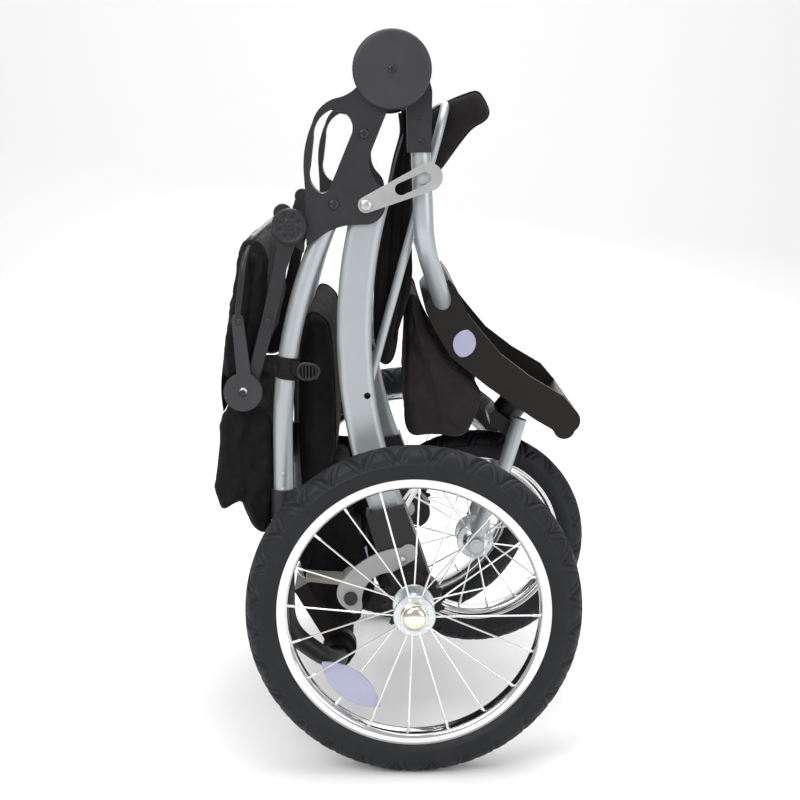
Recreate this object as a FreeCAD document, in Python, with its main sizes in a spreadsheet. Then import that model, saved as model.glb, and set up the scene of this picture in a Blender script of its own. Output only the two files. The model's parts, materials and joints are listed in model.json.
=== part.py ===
"""Three-wheeled jogging stroller, folded and standing on its two rear wheels.

+X points to the stroller's front, +Z up, and the right-hand side is at -Y.
Shapes are laid out from the rear wheels' axis, which stands at x = axle_x.
"""
import FreeCAD, Part
import math
import os

import Sketcher
from FreeCAD import Placement, Rotation, Vector

doc = FreeCAD.newDocument("JoggingStroller")
SIDES = {"right": -1, "left": 1}
SIZES = {
    # place of the whole
    "axle_x": 1.1, "axle_height": 200.0, "wheel_side": 296.0, "frame_side": 217.0,
    # rear wheels
    "rear_tyre": 200.0, "rear_section": 22.0, "rear_rim_top": 161.0, "rear_rim_low": 149.0,
    "rear_spoke_end": 151.5, "rear_hub_half": 30.0,
    # front wheel
    "front_tyre": 148.5, "front_section": 20.0, "front_rim_top": 112.0, "front_rim_low": 99.5,
    "front_spoke_end": 102.0, "front_hub_half": 30.0, "front_axle_x": 89.3, "front_axle_z": 210.8,
    # wheel details
    "rim_half": 14.0, "flange": 25.0, "hub_barrel": 11.0, "hub_end": 12.0, "axle_pin": 6.0,
    "running_gap": 0.05, "spoke_radius": 1.1, "spoke_turn": 33.5, "rotor_tip": 38.5,
    "rotor_root": 33.0, "rotor_thick": 4.0,
    # tubes
    "tube": 12.0, "tube_wall": 1.5, "leg_wide": 42.0, "leg_thick": 20.0, "seat_tube": 5.5,
    "crossbar": 8.0, "grip": 17.0, "bow_wire": 4.0,
    # pivots, from the rear wheels' axis
    "fold_x": -25.0, "fold_z": 830.0, "leg_pivot_x": -55.7, "leg_pivot_z": 674.5,
    "seat_pivot_x": -55.0, "seat_pivot_z": 446.0, "seat_side": 186.0,
    "ratchet_x": -145.0, "ratchet_z": 649.0, "hood_pivot_x": -203.0, "hood_pivot_z": 453.0,
    "crossbar_x": -76.0, "steer_x": 130.0, "steer_z": 383.0, "steer_tilt": 38.0,
    # fold joint and bracket
    "bracket_thick": 30.0, "disc": 46.0, "disc_thick": 11.0, "fold_pin": 8.0,
    "leg_pin": 5.0, "sleeve_side": 212.0, "sleeve_eye": 28.0, "screw_head": 6.0, "latch_thick": 2.5,
    # front
    "footrest_half": 140.0, "footrest_wall": 6.0, "steer_pin": 10.0, "steer_head": 20.0,
    "fork_side": 46.0, "fork_blade": 10.0,
    # soft goods, half widths
    "seat_half": 165.0, "back_half": 190.0, "calf_half": 130.0, "basket_half": 140.0, "hood_half": 224.0,
    "console_half": 140.0, "cup": 34.0, "cup_side": 82.0, "cup_depth": 55.0, "cup_rim": 10.0,
    "cup_ahead": 59.0,
    "console_tilt": 59.3, "handlebar_x": -93.0, "handlebar_z": 98.0,
}


def fill_sheet():
    """Write each driving dimension into its own named cell."""
    sheet = doc.addObject("Spreadsheet::Sheet", "Sizes")
    for row, (alias, value) in enumerate(SIZES.items(), start=1):
        sheet.set(f"A{row}", alias)
        sheet.set(f"B{row}", str(value))
        sheet.setAlias(f"B{row}", alias)
    doc.recompute()
    return sheet


sheet = fill_sheet()
finished = []


def size(alias):
    """Read one driving dimension."""
    return float(sheet.get(alias))


def total(*terms):
    """Add cells and numbers; "-name" subtracts. Gives the value and the expression."""
    value, words = 0.0, []
    for term in terms:
        if isinstance(term, str):
            sign = -1 if term.startswith("-") else 1
            alias = term.lstrip("-")
            value += sign * size(alias)
            words.append(("-" if sign < 0 else "+") + "Sizes." + alias)
        else:
            value += term
            words.append(f"{term:+g}")
    return value, "".join(words).lstrip("+")


def at(x, y, z):
    """Turn a place measured from the rear wheels' axis into the model's frame."""
    return Vector(x + size("axle_x"), y, z)


def side_y(side, offset=0.0, plane="frame_side"):
    """Give y on one side of the stroller; a positive offset is further out."""
    return side * (size(plane) + offset)


def finish(item, label):
    """Name an object as a finished sub-part."""
    item.Label = label
    finished.append(item)
    return item


def feature(name, shape):
    """Hold a shape that Part's own functions made."""
    item = doc.addObject("Part::Feature", name)
    item.Shape = shape
    return item


def fuse(name, *items):
    """Join solids into one."""
    item = doc.addObject("Part::MultiFuse", name)
    item.Shapes = list(items)
    item.Refine = True
    return item


def cut(name, base, *tools):
    """Take one or more solids out of a base."""
    item = doc.addObject("Part::Cut", name)
    item.Base = base
    item.Tool = tools[0] if len(tools) == 1 else fuse(name + "_tools", *tools)
    item.Refine = True
    return item


def group(name, *items):
    """Keep separate solids together in one sub-part."""
    item = doc.addObject("Part::Compound", name)
    item.Links = list(items)
    return item


def rod(name, start, axis, radius, length):
    """Cylinder from start along axis; radius and length are lists of terms."""
    item = doc.addObject("Part::Cylinder", name)
    for prop, terms in (("Radius", radius), ("Height", length)):
        value, words = total(*terms)
        setattr(item, prop, value)
        item.setExpression(prop, words)
    item.Placement = Placement(start, Rotation(Vector(0, 0, 1), Vector(*axis)))
    return item


def outline(points, y):
    """Closed wire in the plane at y. (x, z) is a corner; (xm, zm, x, z) is an arc's middle and end."""
    last = points[-1][-2:]
    edges = []
    for point in points:
        end = point[-2:]
        if len(point) == 4:
            edges.append(Part.Arc(at(last[0], y, last[1]), at(point[0], y, point[1]),
                                  at(end[0], y, end[1])).toShape())
        else:
            edges.append(Part.LineSegment(at(last[0], y, last[1]), at(end[0], y, end[1])).toShape())
        last = end
    return Part.Wire(edges)


def plate(name, points, y, thickness):
    """Extrude an outline, centred on the plane at y; thickness is a list of terms."""
    wire = feature(name + "_outline", outline(points, y))
    item = doc.addObject("Part::Extrusion", name)
    item.Base = wire
    item.DirMode = "Custom"
    item.Dir = Vector(0, 1, 0)
    value, words = total(*thickness)
    item.LengthFwd = value
    item.setExpression("LengthFwd", words)
    item.Symmetric = True
    item.Solid = True
    return item


def bent_path(points, radii):
    """Straight runs through 3-D points, joined by tangent arcs of the radii given for the inner ones."""
    edges, start = [], points[0]
    for before, corner, after, radius in zip(points, points[1:], points[2:], radii):
        back, ahead = (before - corner).normalize(), (after - corner).normalize()
        half = back.getAngle(ahead) / 2
        reach = radius / math.tan(half)
        middle = corner + (back + ahead).normalize() * (radius / math.sin(half) - radius)
        edges.append(Part.LineSegment(start, corner + back * reach).toShape())
        edges.append(Part.Arc(corner + back * reach, middle, corner + ahead * reach).toShape())
        start = corner + ahead * reach
    edges.append(Part.LineSegment(start, points[-1]).toShape())
    return Part.Wire(edges)


def sweep(name, path, radius):
    """Round bar along a path; radius is a list of terms."""
    spine = feature(name + "_path", path)
    ring = doc.addObject("Part::Circle", name + "_ring")
    value, words = total(*radius)
    ring.Radius = value
    ring.setExpression("Radius", words)
    first = path.OrderedEdges[0]
    ring.Placement = Placement(first.valueAt(first.FirstParameter),
                               Rotation(Vector(0, 0, 1), first.tangentAt(first.FirstParameter)))
    item = doc.addObject("Part::Sweep", name)
    item.Sections = [ring]
    item.Spine = (spine, [f"Edge{n + 1}" for n in range(len(path.Edges))])
    item.Solid = True
    item.Frenet = False
    return item


def tube(name, path, radius="tube"):
    """Hollow round tube along a path."""
    return cut(name, sweep(name + "_outside", path, [radius]), sweep(name + "_inside", path,
                                                                     [radius, "-tube_wall"]))


def origin_plane(body, role):
    """Find one of a body's own origin planes."""
    return next(plane for plane in body.Origin.OriginFeatures if plane.Role == role)


def profile_sketch(body, name, corners):
    """Closed profile on the body's XY plane: radius along X, distance along the axle along Y."""
    sketch = body.newObject("Sketcher::SketchObject", name)
    sketch.AttachmentSupport = (origin_plane(body, "XY_Plane"), "")
    sketch.MapMode = "FlatFace"
    places = [(total(*across), total(*along)) for across, along in corners]
    spots = [Vector(across[0], along[0], 0) for across, along in places]
    for index, spot in enumerate(spots):
        sketch.addGeometry(Part.LineSegment(spot, spots[(index + 1) % len(spots)]))
    for index in range(len(spots)):
        sketch.addConstraint(Sketcher.Constraint("Coincident", index, 2, (index + 1) % len(spots), 1))
    for index, (across, along) in enumerate(places):
        for kind, (value, words) in (("DistanceX", across), ("DistanceY", along)):
            number = sketch.addConstraint(Sketcher.Constraint(kind, -1, 1, index, 1, value))
            sketch.setExpression(f"Constraints[{number}]", words)
    return sketch


def ring_sketch(body, name, centre, radius):
    """Circle on the body's XY plane, for a tyre or the groove that it sits in."""
    sketch = body.newObject("Sketcher::SketchObject", name)
    sketch.AttachmentSupport = (origin_plane(body, "XY_Plane"), "")
    sketch.MapMode = "FlatFace"
    (across, across_words), (width, width_words) = total(*centre), total(*radius)
    sketch.addGeometry(Part.Circle(Vector(across, 0, 0), Vector(0, 0, 1), width))
    sketch.addConstraint(Sketcher.Constraint("PointOnObject", 0, 3, -1))
    place = sketch.addConstraint(Sketcher.Constraint("DistanceX", -1, 1, 0, 3, across))
    wide = sketch.addConstraint(Sketcher.Constraint("Radius", 0, width))
    sketch.setExpression(f"Constraints[{place}]", across_words)
    sketch.setExpression(f"Constraints[{wide}]", width_words)
    return sketch


def turned(body, kind, name, sketch):
    """Turn a sketch about the body's own Y axis, adding or removing metal."""
    step = body.newObject(kind, name)
    step.Profile = sketch
    step.ReferenceAxis = (sketch, ["V_Axis"])
    step.Angle = 360
    return step


def wheel_body(name, centre, side):
    """Empty body at a wheel's centre, its -Y end pointing outwards."""
    body = doc.addObject("PartDesign::Body", name)
    body.Placement = Placement(centre, Rotation(Vector(0, 0, 1), 180 if side > 0 else 0))
    return body


def make_wheel(suffix, kind, centre, side):
    """Tyre, rim, spokes and hub of one wheel. kind is the prefix of its sheet cells."""
    tyre = wheel_body("Tyre_" + suffix, centre, side)
    turned(tyre, "PartDesign::Revolution", "TyreTurn_" + suffix,
           ring_sketch(tyre, "TyreRing_" + suffix, [kind + "_tyre", "-" + kind + "_section"],
                       [kind + "_section"]))
    finish(tyre, "tyre_" + suffix)

    rim = wheel_body("Rim_" + suffix, centre, side)
    low, top = [kind + "_rim_low"], [kind + "_rim_top"]
    corners = [(low, ["-rim_half", 4]), (low, ["rim_half", -4]), ([kind + "_rim_low", 4], ["rim_half"]),
               (top, ["rim_half"]), (top, ["-rim_half"]), ([kind + "_rim_low", 4], ["-rim_half"])]
    turned(rim, "PartDesign::Revolution", "RimTurn_" + suffix,
           profile_sketch(rim, "RimProfile_" + suffix, corners))
    turned(rim, "PartDesign::Groove", "RimGroove_" + suffix,
           ring_sketch(rim, "RimSeat_" + suffix, [kind + "_tyre", "-" + kind + "_section"],
                       [kind + "_section", 0.2]))
    finish(rim, "rim_" + suffix)

    hub = wheel_body("Hub_" + suffix, centre, side)
    half = kind + "_hub_half"
    bore, end, barrel, flange = ["axle_pin", "running_gap"], ["hub_end"], ["hub_barrel"], ["flange"]
    corners = [(bore, [half, 4]), (end, [half, 4]), (end, [half, -6]), (flange, [half, -6]),
               (flange, [half, -10]),
               (barrel, [half, -14]), (barrel, ["-" + half, 14]), (flange, ["-" + half, 10]),
               (flange, ["-" + half, 6]), (end, ["-" + half, 6]), (end, ["-" + half, -3])]
    if side == 0:
        corners.append((bore, ["-" + half, -3]))
    else:
        corners += [([8], ["-" + half, -7]), ([0], ["-" + half, -8]), ([0], ["-" + half, 0]),
                    (bore, ["-" + half, 0])]
    turned(hub, "PartDesign::Revolution", "HubTurn_" + suffix,
           profile_sketch(hub, "HubProfile_" + suffix, corners))
    finish(hub, "hub_" + suffix)

    finish(feature("Spokes_" + suffix, spoke_set(centre, kind, size(half) - 8)), "spokes_" + suffix)


def spoke_set(centre, kind, flange_y):
    """Straight radial spokes, alternately to the inner and the outer flange."""
    count = 20 if kind == "rear" else 16
    inner, outer = size("flange") + 1.4, size(kind + "_spoke_end") - 2.8
    spokes = []
    for index in range(count):
        angle = math.radians(size("spoke_turn")) + 2 * math.pi * index / count
        flange = 1 if index % 2 else -1
        way = Vector(math.cos(angle), 0, math.sin(angle))
        start, end = centre + way * inner, centre + way * outer
        start.y += flange * flange_y
        end.y += flange * 2
        spokes.append(Part.makeCylinder(size("spoke_radius"), (end - start).Length, start, end - start))
    return Part.makeCompound(spokes)


def make_rotor(suffix, side):
    """Toothed brake disc on the hub's inner end."""
    teeth, points = 20, []
    for index in range(teeth):
        for part, alias in ((0.0, "rotor_root"), (0.25, "rotor_tip"), (0.55, "rotor_tip"),
                            (0.8, "rotor_root")):
            angle = 2 * math.pi * (index + part) / teeth
            points.append((size(alias) * math.cos(angle),
                           size("axle_height") + size(alias) * math.sin(angle)))
    y = side_y(side, -30.0, "wheel_side")
    disc = plate("RotorDisc_" + suffix, points, y, ["rotor_thick"])
    hole = rod("RotorHole_" + suffix, at(0, y - 10, size("axle_height")), (0, 1, 0), ["hub_end", 0.05],
               [20])
    finish(cut("Rotor_" + suffix, disc, hole), "brake_rotor_" + suffix)


def make_reflector(suffix, side):
    """Lens-shaped reflector that clips between two spokes."""
    y = side_y(side, 0.0, "wheel_side")
    lens = plate("Lens_" + suffix, [(-86, 93, -110, 136), (-66, 123, -40, 80)], y, [5])
    finish(lens, "spoke_reflector_" + suffix)


def make_rear_wheels():
    """Both rear wheels, with brake discs and reflectors."""
    for name, side in SIDES.items():
        make_wheel("rear_" + name, "rear", at(0, side_y(side, 0.0, "wheel_side"), size("axle_height")),
                   side)
        make_rotor(name, side)
        make_reflector(name, side)


def rear_leg_path(side, low_z, top_z):
    """Gentle arc of the rear leg, bowed towards the rear."""
    bow, centre_x, centre_z, y = 600.0, 529.5, 520.0, side_y(side)

    def spot(z):
        return at(centre_x - math.sqrt(bow ** 2 - (z - centre_z) ** 2), y, z)
    return Part.Wire([Part.Arc(spot(low_z), spot((low_z + top_z) / 2), spot(top_z)).toShape()])


def oval_bar(path, wide, thick):
    """Bar with a flat oval section along an arc that lies in an XZ plane."""
    edge = path.Edges[0]
    start, along = edge.valueAt(edge.FirstParameter), edge.tangentAt(edge.FirstParameter)
    sideways = Vector(0, 1, 0)
    across = along.cross(sideways).normalize()
    reach, bulge = (wide - thick) / 2, thick / 2

    def spot(a, b):
        return start + across * a + sideways * b
    loop = Part.Wire([
        Part.LineSegment(spot(-reach, -bulge), spot(reach, -bulge)).toShape(),
        Part.Arc(spot(reach, -bulge), spot(reach + bulge, 0), spot(reach, bulge)).toShape(),
        Part.LineSegment(spot(reach, bulge), spot(-reach, bulge)).toShape(),
        Part.Arc(spot(-reach, bulge), spot(-reach - bulge, 0), spot(-reach, -bulge)).toShape()])
    return path.makePipeShell([loop], True, False)


def make_rear_leg(name, side):
    """Oval leg tube, its lower socket, and the holes for the two pivots."""
    wide, thick, wall = size("leg_wide"), size("leg_thick"), size("tube_wall")
    outside = oval_bar(rear_leg_path(side, 262, 685), wide, thick)
    inside = oval_bar(rear_leg_path(side, 262, 685), wide - 2 * wall, thick - 2 * wall)
    shell = feature("LegShell_" + name, outside.cut(inside))
    y = side_y(side, 40)
    hole = rod("LegPinHole_" + name, at(size("leg_pivot_x"), y, size("leg_pivot_z")), (0, -side, 0),
               ["leg_pin", "running_gap"], [80])
    seat_hole = rod("LegSeatHole_" + name, at(size("seat_pivot_x"), y, size("seat_pivot_z")), (0, -side, 0),
                    [4.05], [80])
    finish(cut("Leg_" + name, shell, hole, seat_hole), "rear_leg_" + name)

    block = plate("SocketBlock_" + name,
                  [(-57, 302), (-10, 312), (8, 262), (24, 214), (30, 178, -6, 176), (-24, 182, -23, 204),
                   (-44, 258)],
                  side_y(side, 6), [42])
    filled = feature("SocketCore_" + name, oval_bar(rear_leg_path(side, 262, 340), wide + 0.6, thick + 0.6))
    stub = rod("SocketBore_" + name, at(0, side_y(side, -40), size("axle_height")), (0, side, 0),
               ["axle_pin", 0.05], [90])
    finish(cut("Socket_" + name, block, filled, stub), "leg_socket_" + name)


def make_rear_frame():
    """Legs, stub axles, crossbar, brake plates and seat pivots."""
    axles, plates, pivots = [], [], []
    height, bar = size("axle_height"), size("crossbar_x")
    for name, side in SIDES.items():
        make_rear_leg(name, side)
        shaft = rod("StubAxle_" + name, at(0, side_y(side, -22), height), (0, side, 0), ["axle_pin"], [126])
        nut = rod("StubNut_" + name, at(0, side_y(side, -22), height), (0, side, 0), ["hub_end"], [6.7])
        axles += [fuse("Stub_" + name, shaft, nut)]
        blade = plate("BrakeBlade_" + name,
                      [(-2, 246), (4, 262, -14, 263), (-52, 252, -86, 222), (-92, 200, -80, 186),
                       (-66, 182, -62, 192),
                       (-58, 214, -26, 232)], side_y(side, 30.0), [4])
        hole = rod("BladeHole_" + name, at(bar, side_y(side, 10), height), (0, side, 0),
                   ["crossbar", 0.05], [60])
        rivet = rod("BladeRivet_" + name, at(-14, side_y(side, 32.2), 249), (0, side, 0), [5], [3])
        plates += [cut("BrakePlateSolid_" + name, blade, hole), rivet]
        foot = at(size("seat_pivot_x"), side_y(side, -39), size("seat_pivot_z"))
        pin = rod("SeatPin_" + name, foot, (0, side, 0), [4], [38])
        head = rod("SeatPinHead_" + name, foot, (0, side, 0), [7], [4.7])
        knob = rod("SeatKnob_" + name, foot + Vector(0, side * 11.5, 0), (0, side, 0), [9], [16])
        pivots.append(fuse("SeatPivot_" + name, pin, head, knob))
    finish(group("StubAxles", *axles), "rear_stub_axles")
    finish(group("BrakePlates", *plates), "brake_plates")
    finish(group("SeatPivots", *pivots), "seat_pivots")
    reach = size("frame_side") + 36
    finish(rod("Crossbar", at(bar, -reach, height), (0, 1, 0), ["crossbar"],
               ["frame_side", "frame_side", 72]),
           "rear_crossbar")


def make_brake_pedal():
    """Foot pedal whose sleeve turns on the crossbar."""
    y, height, bar = -166.0, size("axle_height"), size("crossbar_x")
    sleeve = rod("PedalSleeve", at(bar, y - 18, height), (0, 1, 0), ["crossbar", 4], [36])
    paddle = plate("PedalPaddle", [(bar - 8, height + 4), (bar - 52, height + 7),
                                   (bar - 58, height + 4, bar - 52, height + 1),
                                   (bar - 8, height - 4)], y, [34])
    hole = rod("PedalHole", at(bar, y - 30, height), (0, 1, 0), ["crossbar", 0.05], [60])
    finish(cut("BrakePedal", fuse("PedalSolid", sleeve, paddle), hole), "brake_pedal")


BRACKET = [(-25, 830), (-60, 818), (-75, 803, -90, 797.5), (-108, 787, -118, 769),
           (-126.5, 742, -128.5, 714),
           (-127, 690), (-126, 627), (-113, 634), (-95, 645.5, -76, 650.5), (-58, 651.3),
           (-38, 660, -33, 676),
           (-34, 687, -40, 697), (-50.5, 714, -51.5, 731), (-42, 755, -30, 784), (-14, 800)]
FINGER_LOOP = [(-97, 784), (-111, 773, -117, 752), (-121, 718), (-118.5, 697, -108, 687.5),
               (-101, 690, -96.5, 698),
               (-72, 757), (-73, 772, -86, 782.5)]


def handle_tube_path(side, low_z):
    """Handle tube from inside the bracket, leaning rearwards and then bending upright."""
    y, bend = side_y(side), 600.0
    centre_x, centre_z, lean = 442.5, 400.0, math.radians(23.6)
    joint = (centre_x - bend * math.cos(lean), centre_z + bend * math.sin(lean))
    middle = (centre_x - bend * math.cos(lean / 2), centre_z + bend * math.sin(lean / 2))
    run = 152.0
    top = at(joint[0] + run * math.sin(lean), y, joint[1] + run * math.cos(lean))
    start, straight = at(joint[0], y, joint[1]), at(centre_x - bend, y, centre_z)
    return Part.Wire([Part.LineSegment(top, start).toShape(),
                      Part.Arc(start, at(middle[0], y, middle[1]), straight).toShape(),
                      Part.LineSegment(straight, at(centre_x - bend, y, low_z)).toShape()])


def make_bracket(name, side):
    """Moulded side bracket: it holds the handle tube, the rear leg's pivot and the fold joint."""
    y, fold = side_y(side), at(size("fold_x"), 0, size("fold_z"))
    body = plate("BracketBody_" + name, BRACKET, y, ["bracket_thick"])
    boss = rod("BracketBoss_" + name, fold + Vector(0, side_y(side, -15), 0), (0, side, 0), ["disc", -3],
               ["bracket_thick"])
    loop = plate("FingerHole_" + name, FINGER_LOOP, y, ["bracket_thick", 4])
    sleeve_room = rod("SleeveRoom_" + name, fold + Vector(0, side_y(side, 9.5), 0), (0, -side, 0),
                      ["disc", 2], [40])
    fold_hole = rod("FoldHole_" + name, fold + Vector(0, side_y(side, -30), 0), (0, side, 0),
                    ["fold_pin", 0.05], [60])
    pivot = at(size("leg_pivot_x"), 0, size("leg_pivot_z"))
    leg_room = rod("LegRoom_" + name, pivot + Vector(0, side_y(side, -10.6), 0), (0, side, 0), [31],
                   ["leg_thick", 1.2])
    leg_door = plate("LegDoor_" + name, [(-86, 674), (-96, 620), (-20, 620), (-20, 690)], y,
                     ["leg_thick", 1.2])
    pin_hole = rod("PinHole_" + name, pivot + Vector(0, side_y(side, -30), 0), (0, side, 0),
                   ["leg_pin", 0.05], [60])
    bore = sweep("TubeBore_" + name, handle_tube_path(side, 300), ["tube", 0.3])
    screws = [rod(f"ScrewHole_{name}_{n}", at(x, side_y(side, 30), z), (0, -side, 0), [3.05], [60])
              for n, (x, z) in enumerate(BRACKET_SCREWS)]
    solid = cut("Bracket_" + name, fuse("BracketSolid_" + name, body, boss), loop, sleeve_room, fold_hole,
                leg_room,
                leg_door, pin_hole, bore, *screws)
    finish(solid, "side_bracket_" + name)


BRACKET_SCREWS = [(-57.7, 756.8), (-93.4, 675.1)]


def make_handle_tube(name, side):
    """Bent tube with holes for the two bracket screws."""
    full = tube("HandleTube_" + name, handle_tube_path(side, 300))
    screws = [rod(f"TubeHole_{name}_{n}", at(x, side_y(side, 30), z), (0, -side, 0), [3.05], [60])
              for n, (x, z) in enumerate(BRACKET_SCREWS)]
    finish(cut("HandleTubeDrilled_" + name, full, *screws), "handle_tube_" + name)


def make_fold_disc(name, side):
    """Round cover of the fold joint, with the pivot that the front leg turns on."""
    fold = at(size("fold_x"), 0, size("fold_z"))
    cover = rod("DiscCover_" + name, fold + Vector(0, side_y(side, 15.2), 0), (0, side, 0), ["disc"],
                ["disc_thick"])
    rounded = doc.addObject("Part::Fillet", "DiscRound_" + name)
    rounded.Base = cover
    doc.recompute()
    outer = [n + 1 for n, edge in enumerate(cover.Shape.Edges)
             if edge.Closed and abs(edge.BoundBox.YMin) > abs(side_y(side, 16)) and edge.BoundBox.YLength < 1]
    rounded.Edges = [(n, 5.0, 5.0) for n in outer]
    pin = rod("FoldPin_" + name, fold + Vector(0, side_y(side, -20), 0), (0, side, 0), ["fold_pin"], [35.2])
    head = rod("FoldPinHead_" + name, fold + Vector(0, side_y(side, -25), 0), (0, side, 0),
               ["fold_pin", 4], [5.2])
    finish(fuse("Disc_" + name, rounded, pin, head), "fold_disc_" + name)


def make_fasteners():
    """Bracket screws and leg pivot rivets, as separate solids."""
    items = []
    for name, side in SIDES.items():
        for n, (x, z) in enumerate(BRACKET_SCREWS):
            shank = rod(f"Screw_{name}_{n}", at(x, side_y(side, -14), z), (0, side, 0), [3], [30])
            head = rod(f"ScrewHead_{name}_{n}", at(x, side_y(side, 15.1), z), (0, side, 0),
                       ["screw_head"], [2])
            items.append(fuse(f"ScrewSolid_{name}_{n}", shank, head))
        pivot = (size("leg_pivot_x"), size("leg_pivot_z"))
        shank = rod("Rivet_" + name, at(pivot[0], side_y(side, -17), pivot[1]), (0, side, 0), ["leg_pin"],
                    [37])
        foot = rod("RivetFoot_" + name, at(pivot[0], side_y(side, -17), pivot[1]), (0, side, 0),
                   ["leg_pin", 4], [1.8])
        head = rod("RivetHead_" + name, at(pivot[0], side_y(side, 18.2), pivot[1]), (0, side, 0),
                   ["leg_pin", 2], [2])
        items.append(fuse("RivetSolid_" + name, shank, foot, head))
    finish(group("Fasteners", *items), "bracket_fasteners")


def make_handlebar():
    """Foam-covered bar across the handle, its tube joints and the parent's console."""
    joints = []
    for name, side in SIDES.items():
        x, y = -157.5, side_y(side)
        shell = rod("JointShell_" + name, at(x, y, 268), (0, 0, 1), ["tube", 3], [62])
        plug = rod("JointRoom_" + name, at(x, y, 299), (0, 0, 1), ["tube", 0.3], [40])
        bar_room = rod("JointBarRoom_" + name, at(x, y, 260), (0, 0, 1), ["tube", 0.3], [36])
        joints.append(cut("TubeJoint_" + name, shell, plug, bar_room))
    finish(group("TubeJoints", *joints), "tube_joints")
    side, upper, lower = size("frame_side"), -157.5, size("handlebar_z")
    corner, drop = [size("handlebar_x"), side - 10, lower], 150
    points = [at(upper, -side, 295), at(upper, -side, drop), at(corner[0], -corner[1], lower),
              at(corner[0], corner[1], lower), at(upper, side, drop), at(upper, side, 295)]
    finish(tube("BarCore", bent_path(points, [60, 45, 45, 60])), "handlebar_tube")
    reach = side - 52
    foam = rod("FoamSolid", at(corner[0], -reach, lower), (0, 1, 0), ["grip"],
               ["frame_side", "frame_side", -104])
    finish(cut("Foam", foam, handlebar_hole("FoamHole", "tube")), "handlebar_grip")
    make_console()


def handlebar_hole(name, radius):
    """Round hole along the handlebar, a little wider than the cell it is named after."""
    reach = size("frame_side") - 47
    return rod(name, at(size("handlebar_x"), -reach, size("handlebar_z")), (0, 1, 0), [radius, 0.05],
               ["frame_side", "frame_side", -94])


def make_console():
    """Parent's console: two cup wells side by side, clipped to the grip. The wells open up when unfolded."""
    tilt = math.radians(size("console_tilt"))
    up, ahead = (-math.sin(tilt), -math.cos(tilt)), (-math.cos(tilt), math.sin(tilt))
    bar = (size("handlebar_x"), size("handlebar_z"))

    def spot(rise, reach):
        return (bar[0] + up[0] * rise + ahead[0] * reach, bar[1] + up[1] * rise + ahead[1] * reach)
    near, far = size("cup_ahead") - size("cup") - 4, size("cup_ahead") + size("cup") + 4
    rim, foot = size("cup_rim"), size("cup_rim") - size("cup_depth") - 5
    outside = [spot(rim, near), spot(foot + 12, near), (*spot(foot + 3, near + 3), *spot(foot, near + 12)),
               spot(foot, far - 12), (*spot(foot + 3, far - 3), *spot(foot + 12, far)), spot(rim, far)]
    block = plate("ConsoleBlock", outside, 0, ["console_half", "console_half"])
    clips = [rod("ConsoleClip_" + name, at(bar[0], side * 126 - 9, bar[1]), (0, 1, 0), ["grip", 5], [18])
             for name, side in SIDES.items()]
    mouth = spot(rim + 1, size("cup_ahead"))
    wells = [rod("CupWell_" + name, at(mouth[0], side * size("cup_side"), mouth[1]), (-up[0], 0, -up[1]),
                 ["cup"],
                 ["cup_depth", 1]) for name, side in SIDES.items()]
    finish(cut("Console", fuse("ConsoleSolid", block, *clips), handlebar_hole("GripRoom", "grip"),
               *wells), "parent_console")


def make_handle_frame():
    """Everything that turns with the handle."""
    for name, side in SIDES.items():
        make_bracket(name, side)
        make_handle_tube(name, side)
        make_fold_disc(name, side)
    make_fasteners()
    make_handlebar()
    finish(plate("BackSolid", [(-141, 500), (-141, 318), (-128, 312), (-95, 330), (-92, 420), (-98, 525),
                               (-104, 532),
                               (-131, 544)], 0, ["back_half", "back_half"]), "seat_back")


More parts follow.
